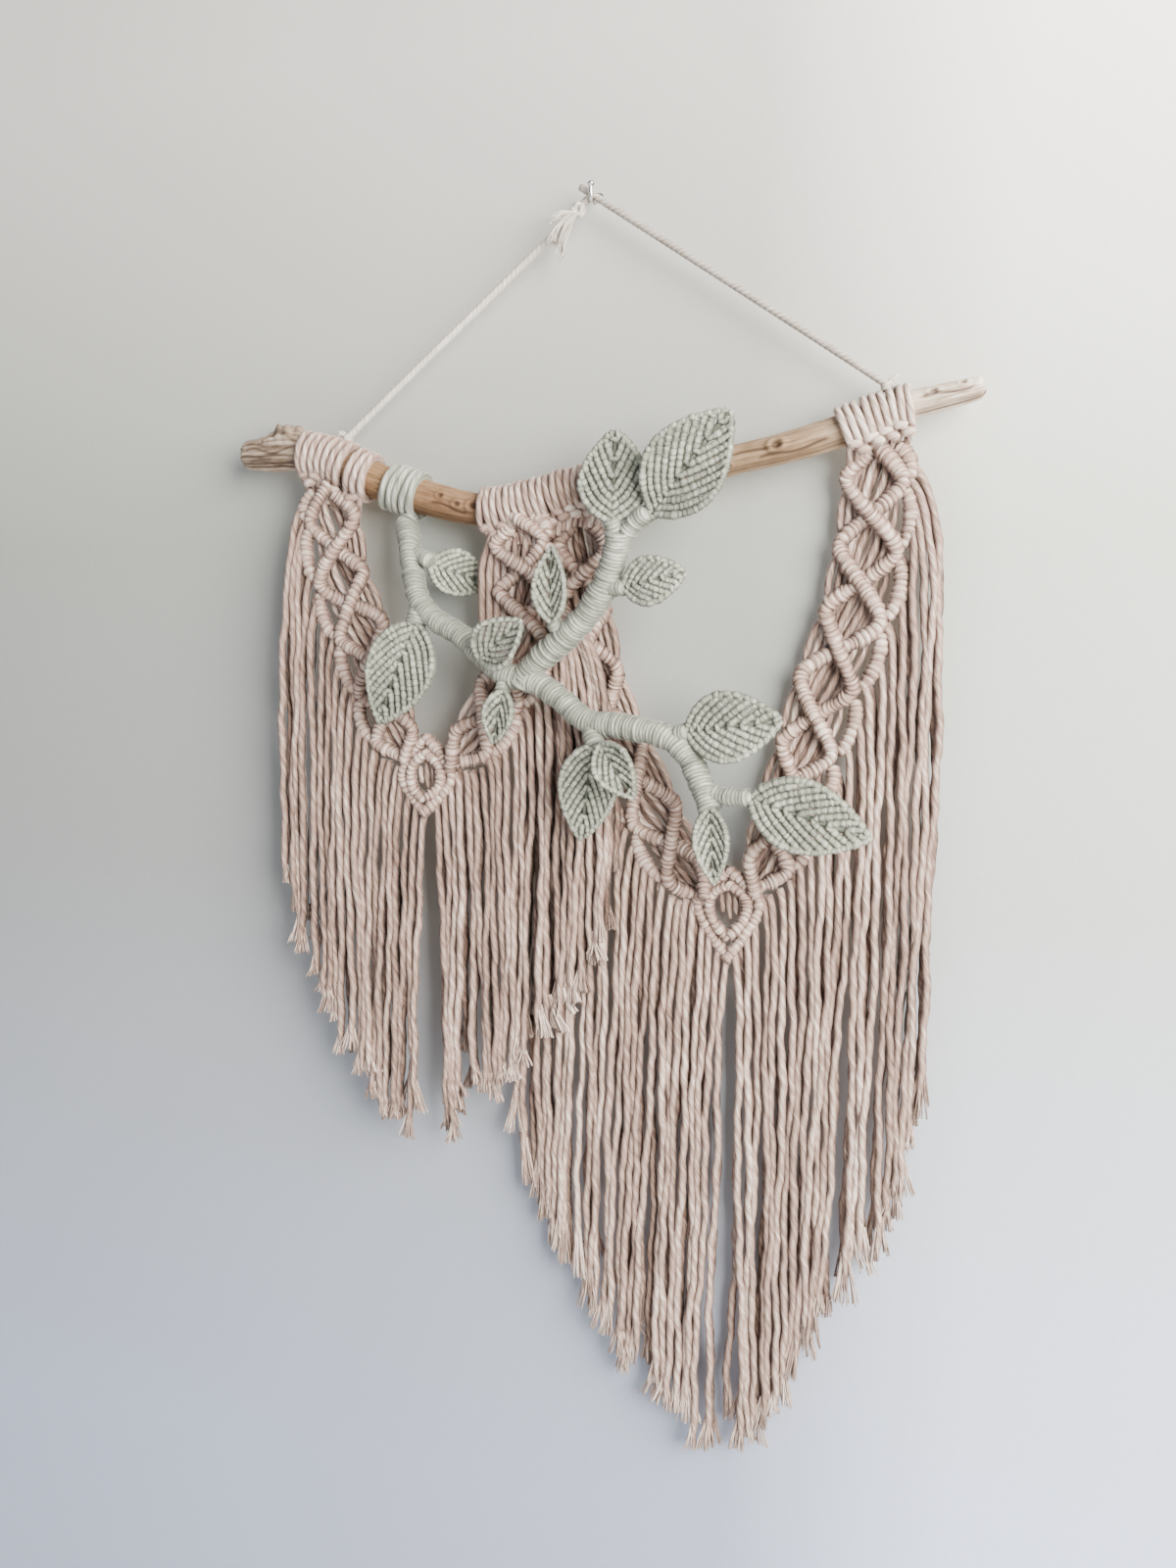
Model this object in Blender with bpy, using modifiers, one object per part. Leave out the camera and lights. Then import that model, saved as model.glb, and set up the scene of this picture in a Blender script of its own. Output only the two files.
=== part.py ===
"""A macrame wall hanging on a driftwood branch, with a yarn-wrapped leafy vine in front of it.

Metres, +Z up. The origin is where the hook's shank meets the wall, and the front faces -Y, so every
piece lies at a negative Y. Two scallops of knotted lattice hang from the branch, the right one
behind the left one, each made of two arms that meet in a double diamond, with a comb of fringe
below each arm.
"""

import math

import bmesh
import bpy
from mathutils import Vector

COLLECTION = "macrame_wall_hanging"
CUTTERS = "cutters"
GAP = 0.0003            # left between touching pieces
SEAT = 0.0007           # from a faceted round piece's nominal surface to what is seated on it

# Layers in depth, from the wall forward.
BRANCH_Y = -0.017
BACK_NET_Y = -0.0095
FRONT_NET_Y = -0.0215
NET_THICK = 0.009
FRINGE_THICK = 0.008

# Materials: linear colour, roughness, metallic.
COTTON = ((0.58, 0.44, 0.39), 0.95, 0.0)
SAGE_YARN = ((0.52, 0.57, 0.50), 0.9, 0.0)
LEAF_COTTON = ((0.44, 0.51, 0.43), 0.95, 0.0)
DRIFTWOOD = ((0.45, 0.34, 0.24), 0.8, 0.0)
HOOK_STEEL = ((0.8, 0.8, 0.8), 0.25, 1.0)

# The branch's centreline: x, z, radius.
BRANCH = (
    (-0.231, -0.146, 0.0085), (-0.212, -0.147, 0.0095), (-0.190, -0.147, 0.0100),
    (-0.164, -0.153, 0.0105), (-0.142, -0.163, 0.0110), (-0.107, -0.175, 0.0105),
    (-0.066, -0.184, 0.0095), (-0.033, -0.179, 0.0090), (-0.003, -0.172, 0.0093),
    (0.048, -0.167, 0.0090), (0.090, -0.158, 0.0082), (0.119, -0.152, 0.0085),
    (0.148, -0.144, 0.0088), (0.168, -0.136, 0.0083), (0.187, -0.131, 0.0075),
    (0.207, -0.127, 0.0068), (0.225, -0.123, 0.0062),
)
STUB_FROM = (-0.196, BRANCH_Y, -0.140)
STUB_TO = (-0.1945, BRANCH_Y, -0.1305)
STUB_RADIUS = 0.0034

# Cords wound round the branch: name, first x, last x.
LOOP_THICK = 0.0048
MOUNTING_KNOTS = (
    ("mounting_knots_left", -0.189, -0.137),
    ("mounting_knots_middle", -0.067, 0.014),
    ("mounting_knots_right", 0.148, 0.187),
)
SAGE_WRAPS = ("sage_wraps", -0.132, -0.101)

# Lattice arms, top cell first: x, z, half width towards the fringe, half width away from it.
LEFT_OUTER = (
    (-0.165, -0.189, 0.019, 0.019), (-0.159, -0.226, 0.019, 0.020), (-0.145, -0.259, 0.019, 0.019),
    (-0.133, -0.294, 0.018, 0.018), (-0.121, -0.324, 0.018, 0.015),
)
LEFT_INNER = (
    (-0.040, -0.205, 0.018, 0.020), (-0.037, -0.234, 0.019, 0.029), (-0.039, -0.264, 0.019, 0.024),
    (-0.053, -0.297, 0.018, 0.018), (-0.073, -0.326, 0.018, 0.014),
)
RIGHT_INNER = (
    (-0.004, -0.206, 0.019, 0.018), (-0.004, -0.244, 0.019, 0.020), (0.006, -0.285, 0.019, 0.018),
    (0.023, -0.326, 0.019, 0.018), (0.045, -0.368, 0.019, 0.018), (0.066, -0.402, 0.018, 0.013),
)
RIGHT_OUTER = (
    (0.167, -0.171, 0.020, 0.019), (0.164, -0.209, 0.021, 0.019), (0.157, -0.247, 0.021, 0.019),
    (0.144, -0.286, 0.021, 0.019), (0.134, -0.325, 0.020, 0.018), (0.123, -0.361, 0.019, 0.018),
    (0.112, -0.394, 0.018, 0.014),
)
PINCH = 0.84            # the band's width where two cells cross, against its width at a cell
HOLE_WIDE = 0.0115      # half sizes of the open diamond inside a cell
HOLE_TALL = 0.0135
LEFT_HOLES = ((0, 1, 2), (1, 2, 3))     # cells left open in the outer and the inner arm
RIGHT_HOLES = ((1, 3, 4), (1, 3, 4))

# Double diamonds: top, right, bottom and left corner, x and z.
LEFT_DIAMOND = ((-0.101, -0.322), (-0.082, -0.350), (-0.103, -0.375), (-0.119, -0.349))
RIGHT_DIAMOND = ((0.091, -0.398), (0.112, -0.421), (0.091, -0.457), (0.070, -0.421))

# Fringe: the comb's free side edge from the top down, then the teeth's tips, away from the middle.
LEFT_OUTER_EDGE = ((-0.189, -0.166), (-0.196, -0.205), (-0.202, -0.270), (-0.205, -0.359))
LEFT_OUTER_TIPS = (
    (-0.109, -0.598), (-0.121, -0.594), (-0.132, -0.583), (-0.142, -0.560), (-0.153, -0.555),
    (-0.163, -0.541), (-0.173, -0.516), (-0.183, -0.489), (-0.192, -0.471), (-0.201, -0.436),
)
LEFT_INNER_EDGE = ((-0.019, -0.196), (0.003, -0.225), (0.014, -0.280), (0.024, -0.350))
LEFT_INNER_TIPS = (
    (-0.088, -0.596), (-0.074, -0.571), (-0.061, -0.565), (-0.048, -0.556), (-0.035, -0.538),
    (-0.022, -0.534), (-0.009, -0.511), (0.004, -0.502), (0.016, -0.477), (0.027, -0.447),
)
RIGHT_INNER_EDGE = ((-0.025, -0.197), (-0.033, -0.250), (-0.040, -0.340), (-0.046, -0.450))
RIGHT_INNER_TIPS = (
    (0.084, -0.787), (0.071, -0.772), (0.059, -0.759), (0.046, -0.743), (0.033, -0.738),
    (0.020, -0.712), (0.007, -0.704), (-0.006, -0.694), (-0.018, -0.668), (-0.030, -0.640),
    (-0.041, -0.606),
)
RIGHT_OUTER_EDGE = ((0.190, -0.141), (0.203, -0.166), (0.211, -0.215), (0.214, -0.330))
RIGHT_OUTER_TIPS = (
    (0.103, -0.782), (0.113, -0.768), (0.124, -0.757), (0.135, -0.735), (0.146, -0.718),
    (0.157, -0.697), (0.167, -0.674), (0.177, -0.654), (0.187, -0.636), (0.197, -0.604),
    (0.206, -0.560),
)
SLOT = 0.0012           # half the slot between two teeth
SLOT_DEEP = (0.070, 0.150, 0.105)       # above the higher of the two tips beside it, in turn
TIP_BEVEL = (0.004, 0.006)              # how far a tooth's two corners stay above its tip
FRINGE_CLEAR = 0.0006   # between a comb and the knots that it hangs from

# The hanging cord and its hook.
CORD_RADIUS = 0.0021
HOOK_WIRE = 0.0012
HOOK_COLLAR = (0.0029, 0.0012)          # radius, thickness
HOOK_BEND_Y = -0.014
HOOK_BEND_Z = -0.003
HOOK_BEND_RADIUS = 0.005
HOOK_SHANK_Y = -0.006
KNOT_CENTRE = (-0.0085, -0.0145, -0.0115)
KNOT_RADIUS = 0.0045
TASSEL_FROM = (-0.0078, -0.0172, -0.0145)
TASSEL_TIP = (-0.0145, -0.0215, -0.0370)
TASSEL_RADIUS = 0.0055
LEFT_SEAT_X = -0.158
RIGHT_SEAT_X = 0.172
HANGER_Y = -0.0150
CAP_TILT = 0.1          # what the branch's slope lifts a cord's end, as a share of its radius

# The vine. Stems: name, radius, route (x, y, z). Twigs: name, radius, what they are seated on, route
# from inside that piece. A cut with CLEARANCE all round leaves each seat 0.3 mm open.
STEMS = (
    ("vine_stem_main", 0.0072, (
        (-0.1146, -0.018, -0.1900), (-0.1154, -0.0195, -0.1945), (-0.111, -0.026, -0.203),
        (-0.106, -0.033, -0.221), (-0.100, -0.0365, -0.240), (-0.089, -0.037, -0.252),
        (-0.073, -0.037, -0.261), (-0.059, -0.037, -0.273), (-0.044, -0.037, -0.284),
        (-0.024, -0.037, -0.289), (-0.007, -0.037, -0.300), (0.008, -0.037, -0.311),
        (0.032, -0.037, -0.314), (0.056, -0.037, -0.319), (0.069, -0.037, -0.330),
        (0.077, -0.037, -0.346), (0.083, -0.037, -0.361))),
    ("vine_stem_rising", 0.0082, (
        (-0.030, -0.037, -0.285), (-0.023, -0.037, -0.276), (-0.009, -0.037, -0.264),
        (0.006, -0.037, -0.249), (0.016, -0.037, -0.233), (0.023, -0.037, -0.214),
        (0.025, -0.037, -0.200))),
)
RISING_START = 0.0060   # radius where the rising stem leaves the main one
TWIGS = (
    ("vine_twig_crown_left", 0.0042, ("vine_stem_rising",), (
        (0.0235, -0.037, -0.2045), (0.0200, -0.038, -0.1930))),
    ("vine_twig_crown_right", 0.0046, ("vine_stem_rising", "vine_twig_crown_left"), (
        (0.0265, -0.037, -0.2050), (0.0345, -0.0378, -0.1960), (0.0440, -0.0395, -0.1895))),
    ("vine_twig_side", 0.0040, ("vine_stem_rising",), (
        (0.0165, -0.037, -0.2335), (0.0310, -0.040, -0.2330))),
    ("vine_twig_bud", 0.0040, ("vine_stem_rising",), (
        (-0.0090, -0.0375, -0.2620), (-0.0143, -0.040, -0.2520))),
    ("vine_twig_high", 0.0042, ("vine_stem_main",), (
        (-0.1085, -0.0295, -0.2100), (-0.0920, -0.0345, -0.2170))),
    ("vine_twig_broad", 0.0050, ("vine_stem_main",), (
        (-0.0995, -0.0368, -0.2415), (-0.1020, -0.038, -0.2560))),
    ("vine_twig_drooping", 0.0038, ("vine_stem_main",), (
        (-0.0455, -0.037, -0.2835), (-0.0445, -0.040, -0.2950))),
    ("vine_twig_pair", 0.0050, ("vine_stem_main",), (
        (0.0075, -0.037, -0.3110), (0.0140, -0.040, -0.3255))),
    ("vine_twig_right", 0.0044, ("vine_stem_main",), (
        (0.0560, -0.037, -0.3185), (0.0700, -0.040, -0.3150))),
    ("vine_twig_low", 0.0046, ("vine_stem_main",), (
        (0.0790, -0.037, -0.3505), (0.0950, -0.039, -0.3522), (0.1080, -0.040, -0.3520))),
)
CLEARANCE = GAP

# Leaves: name, what carries it, base and tip of the midrib (x, y, z), half width, cup (edges forward,
# as a share of the half width), bow (middle of the midrib forward). The base lies inside its carrier.
LEAF_THICK = 0.005
LEAVES = (
    ("leaf_crown_left", "vine_twig_crown_left",
     (0.0203, -0.0375, -0.1950), (0.0220, -0.0370, -0.142), 0.0200, 0.00, 0.000),
    ("leaf_crown_right", "vine_twig_crown_right",
     (0.0427, -0.0393, -0.1905), (0.0880, -0.0430, -0.135), 0.0235, 0.25, 0.006),
    ("leaf_bud", "vine_twig_bud",
     (-0.0141, -0.0398, -0.2540), (-0.0150, -0.0390, -0.208), 0.0110, 0.40, 0.003),
    ("leaf_broad", "vine_twig_broad",
     (-0.1015, -0.0378, -0.2535), (-0.1280, -0.0360, -0.317), 0.0215, 0.10, 0.004),
    ("leaf_high", "vine_twig_high",
     (-0.0945, -0.0337, -0.2160), (-0.0610, -0.0115, -0.226), 0.0145, -0.05, -0.004),
    ("leaf_tip", "vine_stem_main",
     (0.0826, -0.0370, -0.3590), (0.0860, -0.0360, -0.405), 0.0110, 0.35, 0.002),
    ("leaf_side", "vine_twig_side",
     (0.0290, -0.0396, -0.2331), (0.0670, -0.0420, -0.224), 0.0145, 0.12, 0.003),
    ("leaf_curled", "vine_stem_main",
     (-0.0610, -0.0440, -0.2720), (-0.0310, -0.0560, -0.248), 0.0140, 0.30, 0.002),
    ("leaf_drooping", "vine_twig_drooping",
     (-0.0446, -0.0394, -0.2927), (-0.0530, -0.0368, -0.326), 0.0098, 0.35, 0.002),
    ("leaf_pair_long", "vine_twig_pair",
     (0.0133, -0.0390, -0.3235), (0.0060, -0.0350, -0.383), 0.0185, 0.05, 0.000),
    ("leaf_pair_folded", "vine_twig_pair",
     (0.0160, -0.0440, -0.3240), (0.0380, -0.0500, -0.354), 0.0120, 0.30, 0.003),
    ("leaf_right", "vine_twig_right",
     (0.0680, -0.0396, -0.3153), (0.1240, -0.0420, -0.307), 0.0210, 0.10, 0.004),
    ("leaf_low", "vine_twig_low",
     (0.1060, -0.0399, -0.3520), (0.1750, -0.0390, -0.373), 0.0215, 0.10, 0.004),
)
LEAF_ALONG = 10
LEAF_ACROSS = 6


def clear_scene():
    """Remove whatever the file holds, and make the part's collection and the cutters'."""
    for thing in list(bpy.data.objects):
        bpy.data.objects.remove(thing, do_unlink=True)
    for name in (COLLECTION, CUTTERS):
        if name not in bpy.data.collections:
            bpy.context.scene.collection.children.link(bpy.data.collections.new(name))


def make_material(name, finish):
    """A Principled material of the node's own, from a colour, roughness and metallic value."""
    colour, roughness, metallic = finish
    material = bpy.data.materials.new(name)
    material.use_nodes = True
    shader = material.node_tree.nodes["Principled BSDF"]
    shader.inputs["Base Color"].default_value = (*colour, 1.0)
    shader.inputs["Roughness"].default_value = roughness
    shader.inputs["Metallic"].default_value = metallic
    return material


def add_object(name, data, finish=None):
    """Link a new object to the part's collection, or to the cutters' when it has no finish."""
    obj = bpy.data.objects.new(name, data)
    bpy.data.collections[COLLECTION if finish else CUTTERS].objects.link(obj)
    if finish:
        data.materials.append(make_material(name, finish))
    else:
        obj.hide_render = True
        obj.display_type = "WIRE"
    return obj


def smooth_route(points, per_span=3):
    """A Catmull-Rom curve through the points, with per_span steps between each two."""
    route = [Vector(point) for point in points]
    ends = [2 * route[0] - route[1], *route, 2 * route[-1] - route[-2]]
    out = []
    for a, b, c, d in zip(ends, ends[1:], ends[2:], ends[3:]):
        for step in range(per_span):
            t = step / per_span
            out.append(0.5 * (2 * b + (c - a) * t + (2 * a - 5 * b + 4 * c - d) * t * t
                              + (3 * b - 3 * c + d - a) * t ** 3))
    out.append(route[-1])
    return out


def tube(name, points, radii, finish=None, sides=2):
    """A round bar along the points: a poly spline with a bevel and filled caps."""
    curve = bpy.data.curves.new(name, "CURVE")
    curve.dimensions = "3D"
    curve.twist_mode = "Z_UP"
    curve.bevel_depth = 1.0
    curve.bevel_resolution = sides
    curve.use_fill_caps = True
    spline = curve.splines.new("POLY")
    spline.points.add(len(points) - 1)
    for point, place, radius in zip(spline.points, points, radii):
        point.co = (*place, 1.0)
        point.radius = radius
    return add_object(name, curve, finish)


def as_mesh(obj):
    """Replace a curve object by a mesh object of the same name, with its caps welded."""
    name = obj.name
    users = obj.users_collection
    bpy.context.view_layer.update()
    evaluated = obj.evaluated_get(bpy.context.evaluated_depsgraph_get())
    mesh = bpy.data.meshes.new_from_object(evaluated)
    build = bmesh.new()
    build.from_mesh(mesh)
    bmesh.ops.remove_doubles(build, verts=build.verts, dist=1e-6)
    bmesh.ops.recalc_face_normals(build, faces=build.faces)
    build.to_mesh(mesh)
    build.free()
    solid = bpy.data.objects.new(name, mesh)
    solid.matrix_world = obj.matrix_world
    solid.hide_render = obj.hide_render
    solid.display_type = obj.display_type
    users[0].objects.link(solid)
    bpy.data.objects.remove(obj, do_unlink=True)
    solid.name = name
    return solid


def boolean(target, other, operation):
    """Join the other mesh to the target, or cut it from the target."""
    modifier = target.modifiers.new(operation.lower(), "BOOLEAN")
    modifier.operation = operation
    modifier.solver = "EXACT"
    modifier.object = other


def branch_stations(grow, first=None, last=None):
    """Points and radii along the branch, from x = first to x = last, with the radius grown."""
    rows = smooth_route([(x, z, radius) for x, z, radius in BRANCH])
    first = rows[0][0] if first is None else first
    last = rows[-1][0] if last is None else last
    inside = [row for row in rows if first + 0.001 < row[0] < last - 0.001]
    rows = [branch_at(first), *inside, branch_at(last)]
    places = [Vector((x, BRANCH_Y, z)) for x, z, radius in rows]
    return places, [radius + grow for x, z, radius in rows]


def branch_at(x):
    """The branch's x, z and radius at x, between the stations of its smooth route."""
    rows = smooth_route([(x, z, radius) for x, z, radius in BRANCH])
    for a, b in zip(rows, rows[1:]):
        if a[0] <= x <= b[0]:
            return a.lerp(b, (x - a[0]) / (b[0] - a[0]))
    return rows[0] if x < rows[0][0] else rows[-1]


def beside_winding(x, way):
    """The height just above (way = 1) or below (way = -1) the cord wound on the branch, at x."""
    station = branch_at(x)
    slope = (branch_at(x + 0.002)[1] - branch_at(x - 0.002)[1]) / 0.004
    return station[1] + way * ((station[2] + LOOP_THICK) * math.hypot(1, slope) + SEAT)


def make_branch():
    """The branch: a bowed bar of changing thickness, joined with the stub of a side twig."""
    places, radii = branch_stations(0.0)
    branch = as_mesh(tube("driftwood_branch", places, radii, DRIFTWOOD, sides=4))
    stub = as_mesh(tube("stub_form", [STUB_FROM, STUB_TO], [STUB_RADIUS, STUB_RADIUS * 0.75]))
    boolean(branch, stub, "UNION")


def make_winding(name, first, last, finish):
    """Cord wound round the branch: a sleeve from x = first to x = last, bored to clear the branch."""
    places, radii = branch_stations(LOOP_THICK, first, last)
    sleeve = as_mesh(tube(name, places, radii, finish, sides=4))
    places, radii = branch_stations(GAP)
    bore = as_mesh(tube(name + "_bore", places, radii, sides=4))
    boolean(sleeve, bore, "DIFFERENCE")


def plate(name, loops, y, thick, finish):
    """A flat outline in the XZ plane with holes, as thick as given, centred on y."""
    curve = bpy.data.curves.new(name, "CURVE")
    curve.dimensions = "2D"
    curve.fill_mode = "BOTH"
    curve.extrude = thick / 2
    for loop in loops:
        spline = curve.splines.new("POLY")
        spline.points.add(len(loop) - 1)
        for point, (x, z) in zip(spline.points, loop):
            point.co = (x, z, 0.0, 1.0)
        spline.use_cyclic_u = True
    obj = add_object(name, curve, finish)
    obj.location = (0.0, y, 0.0)
    obj.rotation_euler = (math.pi / 2, 0.0, 0.0)
    return obj


def band_frame(cells):
    """For each cell of an arm: its centre, the way down the band, and the way square to it."""
    centres = [Vector((x, z)) for x, z, _, _ in cells]
    frame = []
    for index, centre in enumerate(centres):
        before = centres[max(index - 1, 0)]
        after = centres[min(index + 1, len(centres) - 1)]
        down = (after - before).normalized()
        frame.append((centre, down, Vector((-down.y, down.x))))
    return frame


def band_edge(cells, away, column, clear=0.0):
    """One edge of an arm, top down: widest at each cell and pinched where two cells cross.

    away is +1 for the edge on the +X side of a band that runs straight down, -1 for the other.
    """
    frame = band_frame(cells)
    edge = []
    for index, (centre, down, square) in enumerate(frame):
        width = cells[index][column] + clear
        edge.append(centre + square * away * width)
        if index + 1 < len(frame):
            after, _, square_after = frame[index + 1]
            width = PINCH * (cells[index][column] + cells[index + 1][column]) / 2 + clear
            middle = (square + square_after).normalized()
            edge.append((centre + after) / 2 + middle * away * width)
    return edge


def arm_loops(cells, outer, diamond, hole_cells):
    """An arm's outline and its open diamonds. outer is +1 where the fringe side faces +X."""
    top, right, bottom, left = [Vector(corner) for corner in diamond]
    side = right if outer > 0 else left
    shift = Vector((outer * FRINGE_CLEAR, FRINGE_CLEAR))
    fringe_edge = band_edge(cells, outer, 2)
    open_edge = band_edge(cells, -outer, 3)
    first_x, _, out_width, in_width = cells[0]
    top_out = first_x + outer * out_width * 0.95
    top_in = first_x - outer * in_width * 0.95
    outline = [(x, beside_winding(x, -1)) for x in (top_in, (top_in + top_out) / 2, top_out)]
    outline += [tuple(point) for point in fringe_edge[:-1]]
    outline += [tuple(fringe_edge[-1]), tuple(side + shift), tuple(top + shift)]
    outline += [tuple(point) for point in reversed(open_edge)]
    loops = [outline]
    for index in hole_cells:
        centre, down, square = band_frame(cells)[index]
        loops.append([tuple(centre + down * HOLE_TALL), tuple(centre + square * HOLE_WIDE),
                      tuple(centre - down * HOLE_TALL), tuple(centre - square * HOLE_WIDE)])
    return loops


def comb_loop(cells, outer, diamond, free_edge, tips):
    """A fringe comb's outline: below an arm and half of its diamond, with teeth along the bottom."""
    top, right, bottom, left = [Vector(corner) for corner in diamond]
    side = right if outer > 0 else left
    shift = Vector((outer * 2 * FRINGE_CLEAR, -FRINGE_CLEAR))
    hang = band_edge(cells, outer, 2, FRINGE_CLEAR)
    outline = [tuple(point) for point in hang]
    outline += [tuple(side + shift * 2), tuple(bottom + shift)]
    edges = [tips[0][0] - (tips[1][0] - tips[0][0]) / 2]
    edges += [(a[0] + b[0]) / 2 for a, b in zip(tips, tips[1:])]
    edges += [tips[-1][0] + (tips[-1][0] - tips[-2][0]) / 2]
    for index, (x, z) in enumerate(tips):
        first, last = index == 0, index + 1 == len(tips)
        near = edges[index] + (0.0 if first else outer * SLOT)
        far = edges[index + 1] - (0.0 if last else outer * SLOT)
        if not first:
            deep = SLOT_DEEP[(index - 1) % len(SLOT_DEEP)]
            outline.append((near, max(z, tips[index - 1][1]) + deep))
        outline += [(near, z + TIP_BEVEL[0]), (x, z), (far, z + TIP_BEVEL[1])]
        if not last:
            outline.append((far, max(z, tips[index + 1][1]) + SLOT_DEEP[index % len(SLOT_DEEP)]))
    outline += list(reversed(free_edge))
    return outline


def make_scallop(side, y, outer_arm, inner_arm, outer_sign, diamond, holes, combs):
    """Both arms of a scallop, the diamond they meet in and the two combs of fringe."""
    plate(f"net_{side}_outer", arm_loops(outer_arm, outer_sign, diamond, holes[0]), y, NET_THICK, COTTON)
    plate(f"net_{side}_inner", arm_loops(inner_arm, -outer_sign, diamond, holes[1]), y, NET_THICK, COTTON)
    plate(f"net_{side}_diamond", [diamond], y, NET_THICK, COTTON)
    outer_comb, inner_comb = combs
    loop = comb_loop(outer_arm, outer_sign, diamond, *outer_comb)
    plate(f"fringe_{side}_outer", [loop], y, FRINGE_THICK, COTTON)
    loop = comb_loop(inner_arm, -outer_sign, diamond, *inner_comb)
    plate(f"fringe_{side}_inner", [loop], y, FRINGE_THICK, COTTON)


def make_hook():
    """A silver screw hook: a collar on the wall, a short shank and a bend that opens upwards."""
    route = [(0.0, 0.0, 0.0), (0.0, HOOK_SHANK_Y, 0.0), (0.0, HOOK_SHANK_Y - 0.0022, -0.0008)]
    for step in range(9):
        turn = math.pi * step / 8
        route.append((0.0, HOOK_BEND_Y + HOOK_BEND_RADIUS * math.cos(turn),
                      HOOK_BEND_Z - HOOK_BEND_RADIUS * math.sin(turn)))
    route.append((0.0, HOOK_BEND_Y - HOOK_BEND_RADIUS - 0.0004, HOOK_BEND_Z + 0.004))
    hook = as_mesh(tube("wall_hook", route, [HOOK_WIRE] * len(route), HOOK_STEEL))
    radius, thick = HOOK_COLLAR
    build = bmesh.new()
    bmesh.ops.create_cone(build, cap_ends=True, segments=16, radius1=radius, radius2=radius, depth=thick)
    mesh = bpy.data.meshes.new("collar_form")
    build.to_mesh(mesh)
    build.free()
    collar = add_object("collar_form", mesh)
    collar.location = (0.0, -thick / 2, 0.0)
    collar.rotation_euler = (math.pi / 2, 0.0, 0.0)
    boolean(hook, collar, "UNION")


def make_hanger():
    """The hanging cord: a left leg up to the knot, and a right leg from the knot over the hook."""
    knot = Vector(KNOT_CENTRE)
    left_top = beside_winding(LEFT_SEAT_X, 1) + CORD_RADIUS * CAP_TILT
    right_top = beside_winding(RIGHT_SEAT_X, 1) + CORD_RADIUS * CAP_TILT
    from_knot = (Vector((LEFT_SEAT_X, HANGER_Y, left_top + 0.006)) - knot).normalized()
    left = [(LEFT_SEAT_X, HANGER_Y, left_top), (LEFT_SEAT_X, HANGER_Y, left_top + 0.003),
            knot + from_knot * (KNOT_RADIUS + SEAT)]
    tube("hanger_cord_left", left, [CORD_RADIUS] * 3, COTTON)
    over_hook = Vector((0.0, HOOK_BEND_Y,
                        HOOK_BEND_Z - HOOK_BEND_RADIUS + HOOK_WIRE + CORD_RADIUS + SEAT + GAP))
    to_hook = (over_hook - knot).normalized()
    right = [knot + to_hook * (KNOT_RADIUS + SEAT), over_hook,
             (RIGHT_SEAT_X, HANGER_Y, right_top + 0.003), (RIGHT_SEAT_X, HANGER_Y, right_top)]
    tube("hanger_cord_right", right, [CORD_RADIUS] * 4, COTTON)
    build = bmesh.new()
    bmesh.ops.create_uvsphere(build, u_segments=12, v_segments=8, radius=KNOT_RADIUS)
    mesh = bpy.data.meshes.new("hanger_knot")
    build.to_mesh(mesh)
    build.free()
    lump = add_object("hanger_knot", mesh, COTTON)
    lump.location = KNOT_CENTRE
    start, tip = Vector(TASSEL_FROM), Vector(TASSEL_TIP)
    tassel = as_mesh(tube("tassel_form", [start, start.lerp(tip, 0.5), tip],
                          [TASSEL_RADIUS * 0.35, TASSEL_RADIUS * 0.7, TASSEL_RADIUS]))
    boolean(lump, tassel, "UNION")


def clearance_cutter(name, points, radii):
    """A hidden copy of a bar, CLEARANCE larger all round and at both ends."""
    first = points[0] + (points[0] - points[1]).normalized() * CLEARANCE
    last = points[-1] + (points[-1] - points[-2]).normalized() * CLEARANCE
    grown = [radius + CLEARANCE for radius in radii]
    return as_mesh(tube(name + "_clearance", [first, *points[1:-1], last], grown))


def make_vine():
    """Stems and twigs: wire wound in fine yarn, each a bar cut to seat on the one that carries it."""
    cutters = {}
    for name, radius, route in STEMS:
        points = smooth_route(route, 2)
        radii = [radius] * len(points)
        if cutters:
            radii[0] = RISING_START
        stem = as_mesh(tube(name, points, radii, SAGE_YARN))
        for carrier in cutters.values():
            boolean(stem, carrier, "DIFFERENCE")
        cutters[name] = clearance_cutter(name, points, radii)
    for name, radius, carriers, route in TWIGS:
        points = [Vector(point) for point in route]
        radii = [radius] * len(points)
        twig = as_mesh(tube(name, points, radii, SAGE_YARN))
        for carrier in carriers:
            boolean(twig, cutters[carrier], "DIFFERENCE")
        cutters[name] = clearance_cutter(name, points, radii)
    return cutters


def leaf_width(along):
    """Half width of a leaf as a share of its widest, from the base (0) to the tip (1)."""
    return max(math.sin(math.pi * along ** 0.8) ** 0.8, 0.16 * (1 - along) + 0.07 * along)


def make_leaf(name, carrier, base, tip, half_width, cup, bow):
    """A leaf blade: a grid bent to a pointed oval, cupped across and bowed along, then thickened."""
    base, tip = Vector(base), Vector(tip)
    midrib = tip - base
    across = midrib.cross(Vector((0.0, -1.0, 0.0))).normalized()
    front = across.cross(midrib).normalized()
    build = bmesh.new()
    bmesh.ops.create_grid(build, x_segments=LEAF_ALONG, y_segments=LEAF_ACROSS, size=1.0)
    for vertex in build.verts:
        along = (vertex.co.x + 1) / 2
        side = vertex.co.y
        width = half_width * leaf_width(along)
        rise = cup * width * side * side + bow * math.sin(math.pi * along)
        vertex.co = base + midrib * along + across * side * width + front * rise
    mesh = bpy.data.meshes.new(name)
    build.to_mesh(mesh)
    build.free()
    mesh.shade_smooth()
    leaf = add_object(name, mesh, LEAF_COTTON)
    solidify = leaf.modifiers.new("blade", "SOLIDIFY")
    solidify.thickness = LEAF_THICK
    solidify.offset = 0.0
    boolean(leaf, carrier, "DIFFERENCE")


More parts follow.
